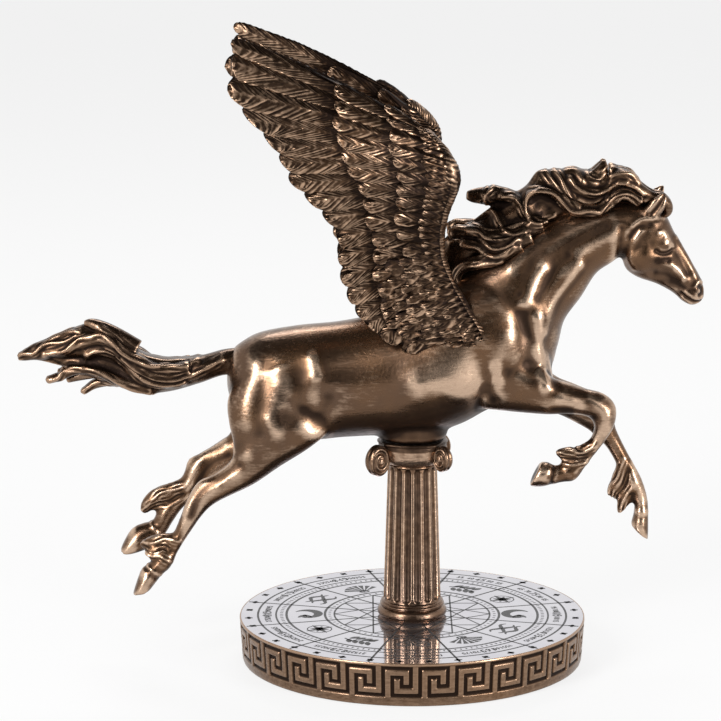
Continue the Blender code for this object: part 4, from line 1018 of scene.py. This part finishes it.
def bronzeFinish(name, toneGain, hollowAndShade, edge, grain, roughness, shade=(1, 1, 1), brightGain=(1, 1, 1), broken=0.0):
    make = Finish(name)
    place = make.node("ShaderNodeTexCoord", out="Object")
    tone = make.node("ShaderNodeAttribute", {"attribute_name": "tone"}, out="Fac") * toneGain
    cloud = make.node("ShaderNodeTexNoise", {}, {"Vector": place, "Scale": 45.0, "Detail": 3.0, "Roughness": 0.55})
    speck = make.node("ShaderNodeTexNoise", {}, {"Vector": place, "Scale": 900.0, "Detail": 2.0, "Roughness": 0.6})
    brushed = make.node("ShaderNodeMapping", {}, {"Vector": place, "Scale": (260.0, 900.0, 1500.0),
                                                  "Rotation": (0.0, 0.5, 0.0)})
    scratch = make.node("ShaderNodeTexNoise", {}, {"Vector": brushed, "Scale": 1.0, "Detail": 2.0, "Roughness": 0.5})
    if broken:
        gaps = make.node("ShaderNodeTexNoise", {}, {"Vector": place, "Scale": 420.0, "Detail": 1.0, "Roughness": 0.5})
        tone = tone + (gaps - 0.5) * broken
    mid, warm = (tuple(part * gain for part, gain in zip(bronze[key], shade)) for key in ("mid", "warm"))
    bright = tuple(part * gain for part, gain in zip(bronze["bright"], brightGain))
    body = make.blend(cloud.between(0.35, 0.68), mid, warm)
    # rubbed and dark colours follow the tone, so they paint highlights and shade as well as wear and patina
    rubbedAndLit = (tone + (speck - 0.5) * 0.35 + (scratch - 0.5) * 0.7).between(0.12, 1.0) * edge
    sunk = ((0 - tone) + (cloud - 0.5) * 0.5).between(0.05, 0.9) * hollowAndShade
    colour = make.blend(sunk, make.blend(rubbedAndLit, body, bright), bronze["dark"])
    rough = roughness + (speck - 0.5) * 0.12 + (cloud - 0.5) * 0.14 + sunk * 0.25
    height = scratch * 0.5 + speck * 0.5
    bump = make.node("ShaderNodeBump", {}, {"Strength": grain, "Distance": 0.0004, "Height": height})
    return make.give(Base_Color=colour, Roughness=rough, Metallic=bronze["metallic"], Normal=bump)


print("scene: finishes")
smoothBronze = bronzeFinish("smooth_bronze", 1.0, 0.85, 0.85, 0.22, 0.25, (1.2, 1.2, 1.2), (1.3, 1.4, 1.5))
featherBronze = bronzeFinish("feather_bronze", 1.15, 0.95, 0.95, 0.25, 0.3, (0.72, 0.72, 0.72), broken=2.6)
hairBronze = bronzeFinish("hair_bronze", 1.0, 0.95, 0.7, 0.2, 0.28, (0.66, 0.66, 0.66))

lift = np.array([0, 0, columnTop])


def toneOf(shell, gain, rounds):
    # relief less its own mean over a wider neighbourhood, so that a thin limb isn't bright all over
    relief = reliefOf(shell, rounds)[:, None]
    edges = edgesOf(shell)
    wide = relief
    for _ in range(4 * rounds):
        wide = neighbourMean(wide, edges, len(relief))
    return np.clip((relief - 0.75 * np.maximum(wide, 0))[:, 0] * gain, -1, 1)


# Painted highlights where the strength is above 0, and painted shade and a darker head where it is below 0: middle x
# and z, reach along each, strength
paintedLightSpots = [
    (13, 28, 12, 6.5, 0.8), (18, 28, 8, 6.5, 1.3), (31, 29, 3.4, 6.5, 0.9), (48, 35, 3.2, 12, 0.9),
    (20, 38, 12, 5, 0.3), (-56, 26, 3, 8, 0.5), (-47, 24, 3, 6, 0.3), (-36, 33, 3, 3, 0.3), (-36, 9, 6, 3, 0.4),
    (94, 70, 16, 20, -0.26), (92.8, 80, 1.5, 1.4, 0.9), (94.6, 78, 1.3, 1.6, 1.0), (96.2, 75.2, 1.2, 1.8, 1.0),
    (93.4, 70.8, 4.4, 1.9, -1.3), (98.6, 66.6, 2.6, 1.6, 0.6), (96.4, 61.2, 3.4, 1.7, -0.7),
    (82.6, 84, 1.6, 0.9, 0.7), (86, 85.6, 2.2, 0.8, 0.7), (89.6, 86.2, 1.8, 0.8, 0.6),
]


def bodyTone(shell):
    # relief, with painted shade where the skin faces down and round the boss, plus a bell curve over each listed spot
    # of painted highlight and shade
    x, _, z = shell[0].T
    tone = toneOf(shell, 9, 6) - 0.95 * np.clip((-normalsOf(shell)[:, 2] - 0.35) / 0.45, 0, 1) * (x < 60)
    tone = tone - 1.2 * np.clip((5 - z) / 3, 0, 1) * (np.hypot(x, shell[0][:, 1]) < 15)
    for middleX, middleZ, reachX, reachZ, strength in paintedLightSpots:
        tone = tone + strength * np.exp(-((x - middleX) / reachX) ** 2 - ((z - middleZ) / reachZ) ** 2)
    return np.clip(tone, -1, 1)


def raised(shell):
    return [shell[0] + lift, shell[1], shell[2]]


newPiece("horse_body", raised(body), smoothBronze, ("horse",), places={"tone": bodyTone(body)})
newPiece("mane", raised(maneSkin), hairBronze, ("horse",), places={"tone": toneOf(maneSkin, 11, 8)})
newPiece("tail", raised(tailSkin), hairBronze, ("horse",), places={"tone": toneOf(tailSkin, 11, 8)})
for wingName, parts in (("right_wing", rightWing), ("left_wing", leftWing)):
    for label, (shell, tones) in zip(("flights", "coverts"), parts):
        newPiece(f"{wingName}_{label}", raised(shell), featherBronze, (wingName,), places={"tone": tones})

# Round base: a turned profile with the Greek key cut into its side. Each cell of the key's plan is a groove (#) or
# raised, and is crossed by four rows of points, so that its walls are steep and its edges a little rounded.
base = {
    "lip": 0.55,
    "lipTone": 1.0,
    "draft": 1.2,
    "keyUnits": 30,
    "keyTurn": 7.3,
    "keyDepth": 0.75,
    "keyLow": 3.8,
    "keyHigh": 15.8,
    "grooveShare": 0.8,  # width of a groove against a cell of even width
    "keyPlan": ["#######.", "#.....#.", "#.###.#.", "#.#.#.#.", "#.#.###.", "#.#.....", "#.######"],
}


def cellPlaces(count):
    # places of the four samples in each cell; even cells are grooves and narrower
    widths = np.where(np.arange(count) % 2, 2 - base["grooveShare"], base["grooveShare"])
    edges = np.concatenate([[0], np.cumsum(widths)])
    return (edges[:-1, None] + widths[:, None] * np.array([0.08, 0.3, 0.7, 0.92])).ravel(), edges[-1]


def buildBase():
    plan = np.array([[mark == "#" for mark in row] for row in base["keyPlan"]], float)
    across, unitWidth = cellPlaces(8)
    down, planHeight = cellPlaces(7)
    units = (np.arange(base["keyUnits"])[:, None] * unitWidth + across).ravel() / unitWidth
    turn = units * 2 * math.pi / base["keyUnits"] + math.radians(base["keyTurn"])
    sunk = np.repeat(np.repeat(plan, 4, axis=0), 4, axis=1)
    sunk = np.tile(sunk, (1, base["keyUnits"]))
    height = base["keyHigh"] - down / planHeight * (base["keyHigh"] - base["keyLow"])
    top, recess = baseHeight, baseRadius - base["lip"]
    low = base["keyLow"]
    crown = [(1, top - 1.6), (recess, top - 1.6), (recess, top - 0.3), (recess + 0.05, top - 0.16),
             (recess + 0.14, top - 0.12), (recess + 0.3, top - 0.16), (baseRadius - 0.14, top - 0.3),
             (baseRadius - 0.06, top - 0.5), (baseRadius - 0.05, top - 0.8),
             (baseRadius - 0.05, base["keyHigh"] + 0.12)]
    foot = [(baseRadius - 0.9, low - 0.12), (baseRadius - 0.95, low - 0.5), (baseRadius - 1.0, 2.2),
            (baseRadius - 1.1, 1.1), (baseRadius - 1.3, 0.55), (baseRadius - 1.8, 0.3), (baseRadius - 4, 0.3), (1, 0.3)]
    wall = [(baseRadius - base["draft"] * (1 - h / baseHeight), h) for h in height]
    profile = np.array(crown + wall + foot)
    depth = np.zeros((len(profile), len(turn)))
    depth[len(crown):len(crown) + len(height)] = sunk * base["keyDepth"]
    # a little unevenness of the cast wall
    depth += 0.03 * np.sin(turn * 41 + profile[:, 1:] * 2.1) * np.sin(turn * 17 - profile[:, 1:])
    radius = profile[:, :1] - depth
    shell = tube(turnedRings(radius, profile[:, 1:], turn))
    tone = np.zeros_like(depth)
    tone[len(crown):len(crown) + len(height)] = np.where(sunk > 0, -1, 0.4)
    # painted highlight on the lip
    tone[3:9] = base["lipTone"]
    tone[-8:-4] = 0.25
    tone = np.concatenate([tone.ravel(), [0, 0]]) + np.clip(reliefOf(shell, 2) * 1.5, -0.3, 0.35)
    return shell, tone


# Dial plate: silver disc with printed rings, spokes, ticks, numerals and ornaments. The print is a film of ink as thin
# prisms on the plate, laid out by radius and angle.
dial = {
    "ink": 0.03,
    "edge": 65.5,
    "level": 0.12,  # of the visible plate above the plain one
    "rings": [(58.9, 0.8), (52.0, 0.7), (48.0, 0.95), (33.3, 0.95), (29.7, 0.7)],
    "spokes": 12,
    "spokeFrom": 13.0,
    "spokeTo": 65.0,
    "rimMarks": 36,
    "rimMarkRadius": 62.5,
    "outerTicks": (144, 49.3, 50.5),
    "innerTicks": (72, 31.0, 32.0),
    "spokeWidth": 0.8,
    "chordWidth": 0.62,
    "tickWidth": 0.55,
    "rimMarkReach": 1.5,
    "rimMarkWidths": [0.8, 1.8, 0.8],
    "numeralWidths": (0.5, 0.64),  # of the small and of the large numerals
    "ornamentWidth": 1.35,  # against the widths in the drawings
    "numeralRadius": 55.4,
    "ornamentRadius": 40.6,
}
dialTop = plateTop + dial["level"]
# Strokes of the plain numerals on a field 1 wide and 2 high
numerals = [
    [(0.5, 0), (0.05, 0.5), (0.05, 1.5), (0.5, 2), (0.95, 1.5), (0.95, 0.5), (0.5, 0)],
    [(0.2, 1.6), (0.55, 2), (0.55, 0)],
    [(0.05, 1.6), (0.5, 2), (0.95, 1.5), (0.6, 0.8), (0, 0), (1, 0)],
    [(0.05, 1.8), (0.6, 2), (0.9, 1.5), (0.45, 1.05), (1, 0.6), (0.5, 0), (0, 0.2)],
    [(0.75, 0), (0.75, 2), (0, 0.6), (1.05, 0.6)],
    [(0.95, 2), (0.15, 2), (0.1, 1.1), (0.6, 1.25), (1, 0.65), (0.5, 0), (0, 0.2)],
    [(0.85, 2), (0.25, 1.3), (0.02, 0.5), (0.5, 0), (0.98, 0.5), (0.6, 1.05), (0.1, 0.7)],
    [(0, 2), (1, 2), (0.35, 0)],
    [(0.5, 1.05), (0.12, 1.5), (0.5, 2), (0.88, 1.5), (0.5, 1.05), (0.02, 0.5), (0.5, 0), (0.98, 0.5), (0.5, 1.05)],
    [(0.9, 1.3), (0.4, 0.95), (0.02, 1.5), (0.5, 2), (0.98, 1.5), (0.75, 0.7), (0.2, 0)],
]


def inkLine(path, width):
    # flat ribbon along a path of x, y, as wide as given at each of its points
    path = np.asarray(path, float)
    along = np.gradient(path, axis=0)
    along /= np.linalg.norm(along, axis=1, keepdims=True)
    side = np.stack([-along[:, 1], along[:, 0]], axis=1) * (np.ones(len(path)) * width / 2)[:, None]
    high, low = dialTop + dial["ink"], dialTop - 0.1
    corners = ((path + side, high), (path - side, high), (path - side, low), (path + side, low))
    return tube(np.stack([np.hstack([flat, np.full((len(flat), 1), z)]) for flat, z in corners], axis=1))


def inkRing(radius, width, sides=180):
    # closed band: its faces join the last column to the first, in both directions
    turn = fullTurn(sides).T
    section = np.array([(radius + width / 2, dialTop + dial["ink"]), (radius - width / 2, dialTop + dial["ink"]),
                        (radius - width / 2, dialTop - 0.1), (radius + width / 2, dialTop - 0.1)])
    points = turnedRings(section[:, 0], section[:, 1], turn)
    here = np.arange(sides * 4).reshape(sides, 4)
    ahead, aside = np.roll(here, -1, axis=0), np.roll(here, -1, axis=1)
    faces = np.stack([here, aside, np.roll(ahead, -1, axis=1), ahead], axis=-1).reshape(-1, 4)
    return outward([points.reshape(-1, 3), faces, np.empty((0, 3), int)])


def around(path, radius, angle, size=1.0):
    # lays a drawing out at a radius and an angle: its x runs along the ring, its y outward
    path = np.asarray(path, float) * size
    outwardAxis = np.array([math.cos(angle), math.sin(angle)])
    sideAxis = np.array([math.sin(angle), -math.cos(angle)])
    return outwardAxis * radius + path[:, 1:] * outwardAxis + path[:, :1] * sideAxis


def ornament(kind):
    # one of six drawings as strokes with their widths, within 6 mm of the middle
    s = np.linspace(0, 1, 22)
    swell = 0.25 + 0.75 * np.sin(math.pi * s)
    strokes = []

    def draw(x, y, width):
        strokes.append((np.stack([x, y], axis=1), width + 0 * s))

    if kind == 0:  # two scrolls back to back
        for way in (-1, 1):
            turn = s * 3.4 * math.pi + 2.6
            reach = 3.6 * (1 - 0.8 * s)
            draw(way * (3.2 + reach * np.cos(turn)), reach * np.sin(turn), swell)
        strokes.append(([(-5, -4), (0, -4.8), (5, -4)], [0.3, 0.9, 0.3]))
    elif kind == 1:  # sprig with leaves
        draw(12 * s - 6, 1.6 * np.sin(5 * s), 0.5)
        for place in (-4.2, -1.6, 1.2, 3.8):
            for way in (-1, 1):
                draw(place + 2.4 * s, way * (0.4 + 3.6 * s), 1.7 * swell)
    elif kind == 2:  # star with eight rays
        for ray in range(8):
            angle, far = ray * math.pi / 4, 3.6 if ray % 2 else 5.6
            draw(s * far * math.cos(angle), s * far * math.sin(angle), 1.8 * (1 - s) + 0.15)
        draw(4.6 * np.cos(2 * math.pi * s), 4.6 * np.sin(2 * math.pi * s), 0.35)
    elif kind == 3:  # crescent with three leaves
        draw(4.8 * np.cos(2.2 + 4.4 * s), 4.8 * np.sin(2.2 + 4.4 * s), 2.4 * np.sin(math.pi * s) + 0.2)
        for way in (-1, 0, 1):
            draw(1.2 + 3.6 * s, way * 2.6 * s + 0.3, 1.3 * swell)
    elif kind == 4:  # three waves
        for row in (-3.2, 0, 3.2):
            draw(12 * s - 6, row + 1.1 * np.sin(9.4 * s + row), 1.1 * swell + 0.1)
    else:  # shell of seven ribs
        for angle in np.linspace(0.5, math.pi - 0.5, 7):
            draw(7.6 * s * np.cos(angle), 8.4 * s * np.sin(angle) - 4.4, 0.25 + 1.3 * s**2)
        draw(1.8 * np.cos(2 * math.pi * s), np.sin(2 * math.pi * s) - 4.4, 0.6)
    return strokes


def buildInk():
    shapes = [inkRing(radius, width) for radius, width in dial["rings"]]
    for index in range(dial["spokes"]):
        angle = math.radians(15 + 360 / dial["spokes"] * index)
        shapes.append(inkLine(around([(0, dial["spokeFrom"]), (0, dial["spokeTo"])], 0, angle), dial["spokeWidth"]))
    inner = dial["rings"][-1][0]
    for index in range(12):
        ends = np.radians([30 * index, 30 * index + 120])
        shapes.append(inkLine(np.stack([inner * np.cos(ends), inner * np.sin(ends)], axis=1), dial["chordWidth"]))
    for index in range(dial["rimMarks"]):
        angle = math.radians(360 / dial["rimMarks"] * index + 5)
        for tilt in (45, -45) if index % 2 else (0, 90):
            reach = dial["rimMarkReach"] * np.array([math.cos(math.radians(tilt)), math.sin(math.radians(tilt))])
            mark = around([-reach, (0, 0), reach], dial["rimMarkRadius"], angle)
            shapes.append(inkLine(mark, dial["rimMarkWidths"]))
    for count, near, far in (dial["outerTicks"], dial["innerTicks"]):
        for angle in np.arange(count) * 2 * math.pi / count + 0.01:
            shapes.append(inkLine(around([(0, near), (0, far)], 0, angle), dial["tickWidth"]))
    for sector in range(12):
        for step in (5, 10, 15, 20, 25):
            number = str(30 * sector + step)
            size = 1.5 if step == 15 else 1.0
            angle = math.radians(90 - 30 * sector - (step - 15) * 0.9)
            for index, digit in enumerate(number):
                shift = (index - (len(number) - 1) / 2) * 1.5 - 0.5
                drawn = np.array(numerals[int(digit)], float) + [shift, -1]
                width = dial["numeralWidths"][step == 15]
                shapes.append(inkLine(around(drawn, dial["numeralRadius"], angle, size), width))
        angle = math.radians(90 - 30 * sector)
        for stroke, width in ornament(sector % 6):
            stroke = np.asarray(stroke, float) * ([1, 1] if sector < 6 else [-1, 1])
            width = dial["ornamentWidth"] * np.asarray(width)
            shapes.append(inkLine(around(stroke, dial["ornamentRadius"], angle), width))
    return joined(shapes)


def buildPlate():
    top, edge = dialTop, dial["edge"]
    profile = np.array([(1, top - 1), (edge - 0.3, top - 1), (edge, top - 0.8), (edge, top - 0.12), (edge - 0.12, top),
                        (60, top), (30, top), (1, top)])
    turn = fullTurn(180)
    return tube(turnedRings(profile[:, :1], profile[:, 1:], turn))


# Column: turned foot, shaft whose flutes are half rounds with rounded ends, cup-shaped head and four spiral scrolls
column = {
    "slabReach": 12.3,  # of the capital's slab, from the middle to a hollow side
    "slabCorner": 1.5,  # by which its corners reach further
    # tone of the whole slab: painted shade under the horse
    "slabShade": -0.8,
    "foot": 13.2,
    "shaft": 10.9,
    "neck": 9.3,
    "flutes": 16,
    "fluteShare": 0.37,  # half the width of a flute against the spacing
    "fluteDepth": 1.25,
    "fluteFrom": 7.0,
    "fluteTo": 10.2,  # below the top
    "capitalTurn": -6.0,
    # for each scroll its angle, its reach, its size and how far its middle lies below the top
    "scrolls": [(38, 13.4, 0.86, 5.2), (130, 13.4, 0.86, 5.4), (216, 16.2, 1.0, 6.4), (317, 15.2, 0.82, 5.6)],
    "scrollRadius": 4.7,
    "spiralPitch": 2.1,
}


def buildShaft():
    low, high = dialTop + 0.02, columnTop
    foot, shaft, neck = column["foot"], column["shaft"], column["neck"]
    footRound = smoothRows([(foot - 1.1, low), (foot - 0.15, low + 1.0), (foot, low + 2.1), (foot - 0.5, low + 3.3),
                            (foot - 1.5, low + 4.0)], 5)
    collar = smoothRows([(foot - 1.75, low + 4.1), (foot - 1.1, low + 4.5), (foot - 1.0, low + 5.0),
                         (foot - 1.5, low + 5.5)], 4)
    ring = smoothRows([(foot - 1.8, low + 5.6), (foot - 1.45, low + 5.85), (foot - 1.55, low + 6.2),
                       (shaft + 0.1, low + 6.45)], 4)
    start, end = low + column["fluteFrom"], high - column["fluteTo"]
    ends = np.concatenate([np.linspace(0, 1, 9)[:-1] * 2.2, np.linspace(2.2, 6, 3)])
    heights = np.concatenate([start + ends, np.linspace(start + 6, end - 6, 14)[1:-1], end - ends[::-1]])
    flute = np.stack([shaft + (neck - shaft) * (heights - start) / (end - start), heights], axis=1)
    cup = smoothRows([(neck + 0.1, end + 0.1), (neck + 0.45, end + 0.4), (neck + 0.4, end + 0.8),
                      (neck + 0.3, end + 1.0), (neck + 1.5, end + 1.7), (neck + 2.8, end + 3.4),
                      (neck + 3.4, end + 5.4), (neck + 3.6, end + 7.6), (neck + 3.6, high - 1.2),
                      (neck + 3.3, high - 0.7), (2, high - 0.7)], 4)
    profile = np.vstack([[(1, low)], footRound, collar, ring, flute, cup])
    first = 1 + len(footRound) + len(collar) + len(ring)
    sides = column["flutes"] * 16
    turn = fullTurn(sides)
    place = np.abs((turn * column["flutes"] / (2 * math.pi)) % 1 - 0.5)
    depth = np.zeros((len(profile), sides))
    near = np.minimum(heights - start, end - heights)[:, None]
    # the flute narrows as a half circle towards its ends
    share = column["fluteShare"] * np.sqrt(np.clip(1 - (1 - np.clip(near / 1.9, 0, 1)) ** 2, 0, 1))
    bowl = np.sqrt(np.clip(1 - (place / np.maximum(share, 0.001)) ** 2, 0, 1))
    depth[first:first + len(heights)] = column["fluteDepth"] * bowl * (share / column["fluteShare"])
    radius = profile[:, :1] - depth
    shell = tube(turnedRings(radius, profile[:, 1:], turn))
    tone = -0.75 * depth / column["fluteDepth"]
    edge = np.exp(-((place - column["fluteShare"] - 0.015) / 0.03) ** 2)
    tone[first:first + len(heights)] += 0.95 * edge * (near > 1.5)
    # painted highlight on the middle of the cup, and painted shade under the horse
    cupStart = first + len(heights)
    tone[cupStart + 14:cupStart + 28] += 0.45
    tone[cupStart + 28:] -= 0.8
    tone = np.concatenate([tone.ravel(), [0, 0]]) + np.clip(reliefOf(shell, 2) * 2.5, -0.5, 0.5)
    return shell, tone


def scroll():
    # disc on its side whose two faces carry a spiral ridge: height by the cosine of radius over pitch less the turn
    size = column["scrollRadius"]
    radius = np.linspace(0.12, 1, 26)[:, None] * size
    turn = fullTurn(72)
    wave = np.cos(2 * math.pi * (radius / column["spiralPitch"]) + turn)
    eye = np.exp(-(radius / 1.1) ** 4)
    ridge = 0.42 * wave * (1 - eye) * (radius < size * 0.93) + 0.7 * eye
    out = 2.05 - 0.2 * (radius / size) + ridge - 0.5 * np.clip((radius / size - 0.93) / 0.07, 0, 1)
    flat = [radius * np.cos(turn), radius * np.sin(turn) * 1.25]
    face = np.stack([flat[0], out, flat[1]], axis=2)
    back = np.stack([flat[0], -out, flat[1]], axis=2)[::-1]
    waist = np.array([(1.0, 1.1), (0.93, 0.55), (0.91, 0), (0.93, -0.55), (1.0, -1.1)])
    rim = np.stack([waist[:, :1] * size * np.cos(turn), waist[:, 1:] + 0 * turn,
                    waist[:, :1] * size * np.sin(turn) * 1.25], axis=2)
    shell = tube(np.concatenate([face, rim, back]))
    faceTone = 0.9 * ridge * (1 - 0.3 * eye) - 0.1
    tones = np.concatenate([faceTone, np.full((5, 72), -0.15), faceTone[::-1]])
    return shell, np.concatenate([tones.ravel(), [0.5, 0.5]])


def buildCapital():
    # slab with hollow sides under the horse, and a scroll below each of its corners
    turn = fullTurn(96)
    away = (turn + math.pi / 4) % (math.pi / 2) - math.pi / 4
    outline = column["slabReach"] + column["slabCorner"] * (np.abs(away) / (math.pi / 4)) ** 2.2
    section = np.array([(0.06, -1.5), (0.92, -1.5), (0.98, -1.35), (1.0, -1.0), (1.0, -0.6), (0.98, -0.3),
                        (0.92, -0.15), (0.06, -0.15)])
    slab = tube(turnedRings(outline * section[:, :1], columnTop + section[:, 1:], turn))
    # the slab is painted dark all over, as shade under the horse
    tones = [np.full(len(slab[0]), column["slabShade"])]
    # the slab's corners point the same way as the scrolls
    slab[0] = spun(slab[0], column["capitalTurn"])
    shells = [slab]
    for degrees, reach, size, drop in column["scrolls"]:
        shell, tone = scroll()
        shell[0] = spun(shell[0] * size + [reach, 0, columnTop - drop], degrees)
        shells.append(shell)
        tones.append(tone)
    return joined(shells), np.concatenate(tones)


print("scene: base, dial and column")
castBronze = bronzeFinish("cast_bronze", 1.0, 0.92, 0.7, 0.2, 0.3)
columnBronze = bronzeFinish("column_bronze", 1.0, 0.78, 0.9, 0.4, 0.24, (1.6, 1.7, 1.85), (1.4, 1.5, 1.6), broken=0.9)
baseShell, baseTone = buildBase()
newPiece("base_body", baseShell, castBronze, ("round_base",), places={"tone": baseTone})
shaftShell, shaftTone = buildShaft()
newPiece("column_shaft", shaftShell, columnBronze, ("column",), places={"tone": shaftTone})
capitalShell, capitalTone = buildCapital()
newPiece("column_capital", capitalShell, columnBronze, ("column",), places={"tone": capitalTone}, sharpAngle=60)

silver = Finish("dial_silver")
silverPlace = silver.node("ShaderNodeTexCoord", out="Object")
haze = silver.node("ShaderNodeTexNoise", {}, {"Vector": silverPlace, "Scale": 60.0, "Detail": 4.0, "Roughness": 0.6})
silver.give(Base_Color=silver.blend(haze.between(0.35, 0.7), (0.60, 0.585, 0.63), (0.66, 0.65, 0.68)), Metallic=0.96,
            Roughness=0.085 + (haze - 0.4) * 0.08)
newPiece("dial_disc", buildPlate(), silver.material, ("dial_plate",), sharpAngle=30)
ink = Finish("dial_ink")
inkPlace = ink.node("ShaderNodeTexCoord", out="Object")
worn = ink.node("ShaderNodeTexNoise", {}, {"Vector": inkPlace, "Scale": 700.0, "Detail": 2.0, "Roughness": 0.5})
ink.give(Base_Color=ink.blend(worn.between(0.4, 0.75), (0.008, 0.007, 0.008), (0.03, 0.027, 0.03)),
         Roughness=0.5 + (worn - 0.5) * 0.3)
newPiece("dial_print", buildInk(), ink.material, ("dial_plate",), sharpAngle=30)

felt = Finish("brown_felt")
feltPlace = felt.node("ShaderNodeTexCoord", out="Object")
fibres = felt.node("ShaderNodeTexNoise", {}, {"Vector": feltPlace, "Scale": 1400.0, "Detail": 3.0, "Roughness": 0.7})
fuzz = felt.node("ShaderNodeBump", {}, {"Strength": 0.5, "Distance": 0.0005, "Height": fibres})
felt.give(Base_Color=felt.blend(fibres.between(0.3, 0.7), (0.055, 0.03, 0.02), (0.12, 0.07, 0.05)),
          Roughness=0.95, Normal=fuzz)
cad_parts["felt_pad"].data.materials.clear()
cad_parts["felt_pad"].data.materials.append(felt.material)


# Studio: pale floor, white surroundings, soft lamps, and the camera at the photograph's angle
studio = {
    "floor": 2.4,
    "world": 0.4,
    # place and aim of each lamp, its size and its power
    "lamps": {
        "key": ((-0.78, -0.88, 0.62), (0, 0, 0.12), (0.36, 0.9), 13.0),
        "fill": ((0.92, -0.72, 0.3), (0, 0, 0.12), (0.34, 0.5), 8.0),
        "top": ((0.0, 0.75, 0.95), (0, 0, 0.1), (0.7, 0.3), 5.0),
    },
    "ceiling": [(-1.2, -1.3, 1.25), (1.2, -1.3, 1.25), (1.2, 0.9, 1.25), (-1.2, 0.9, 1.25)],
    "room": [(-0.55, -1.6, -0.1), (0.6, -1.6, -0.1), (0.6, -1.6, 1.1), (-0.55, -1.6, 1.1)],
    "camera": (-0.0197, -1.4, 0.424),
    "tilt": 77.6,
    "sensor": 36,
    "focal": 3802,  # of the camera, where the picture is pictureWidth wide
    "pictureWidth": 721,
}


def flatSheet(name, corners):
    # one face over four corners, given in metres
    return meshOf(name, [np.array(corners, float) * 1000, np.array([[0, 1, 2, 3]]), np.empty((0, 3), int)])


half = studio["floor"]
floorMesh = flatSheet("floor", [(-half, -half, 0), (half, -half, 0), (half, half, 0), (-half, half, 0)])
floorLook = Finish("pale_floor")
path = floorLook.node("ShaderNodeLightPath", out="Is Camera Ray")
gloss = floorLook.node("ShaderNodeLightPath", out="Is Glossy Ray")
glow = floorLook.node("ShaderNodeEmission", {}, {"Color": (1, 1, 1), "Strength": 1.0})
floorLook.shader.inputs["Base Color"].default_value = (0.82, 0.82, 0.82, 1)
floorLook.shader.inputs["Roughness"].default_value = 0.9
plain = Wire(floorLook, floorLook.shader.outputs[0])
mixed = floorLook.node("ShaderNodeMixShader", {}, {0: (path + gloss) * 0.8, 1: plain, 2: glow})
floorLook.links.new(mixed.socket, floorLook.nodes["Material Output"].inputs["Surface"])
floorMesh.materials.append(floorLook.material)
floor = bpy.data.objects.new("floor", floorMesh)
bpy.context.scene.collection.objects.link(floor)

world = bpy.data.worlds.new("surroundings")
bpy.context.scene.world = world
world.use_nodes = True
worldNodes, worldLinks = world.node_tree.nodes, world.node_tree.links
background = worldNodes["Background"]
lightPath = worldNodes.new("ShaderNodeLightPath")
seen = worldNodes.new("ShaderNodeMath")
seen.operation = "MAXIMUM"
worldLinks.new(lightPath.outputs["Is Camera Ray"], seen.inputs[0])
worldLinks.new(lightPath.outputs["Is Glossy Ray"], seen.inputs[1])
strength = worldNodes.new("ShaderNodeMapRange")
strength.inputs["To Min"].default_value = studio["world"]
strength.inputs["To Max"].default_value = 1.0
worldLinks.new(seen.outputs[0], strength.inputs[0])
worldLinks.new(strength.outputs[0], background.inputs["Strength"])
background.inputs["Color"].default_value = (1, 1, 1, 1)


def softbox(name, place, aim, size, power):
    lamp = bpy.data.lights.new(name, "AREA")
    lamp.shape = "RECTANGLE"
    lamp.size, lamp.size_y = size
    lamp.energy = power
    box = bpy.data.objects.new(name, lamp)
    box.location = place
    box.rotation_euler = (Vector(aim) - Vector(place)).to_track_quat("-Z", "Y").to_euler()
    bpy.context.scene.collection.objects.link(box)


for name, lamp in studio["lamps"].items():
    softbox(name, *lamp)


def darkCard(name, corners):
    # dark grey card of the studio that only the metal sees, as the dark room round a white table
    card = bpy.data.objects.new(name, flatSheet(name, corners))
    look = Finish(name)
    look.give(Base_Color=(0.03, 0.03, 0.03), Roughness=0.9)
    card.data.materials.append(look.material)
    bpy.context.scene.collection.objects.link(card)
    card.visible_camera = False
    card.visible_shadow = False
    card.visible_diffuse = False


darkCard("dark_ceiling", studio["ceiling"])
darkCard("dark_room", studio["room"])

view = bpy.data.cameras.new("photo_view")
view.sensor_width = studio["sensor"]
view.lens = studio["focal"] * studio["sensor"] / studio["pictureWidth"]
view.clip_start = 0.01
camera = bpy.data.objects.new("photo_view", view)
camera.location = studio["camera"]
camera.rotation_euler = (math.radians(studio["tilt"]), 0, 0)
bpy.context.scene.collection.objects.link(camera)
bpy.context.scene.camera = camera
bpy.context.scene.view_settings.view_transform = "Standard"
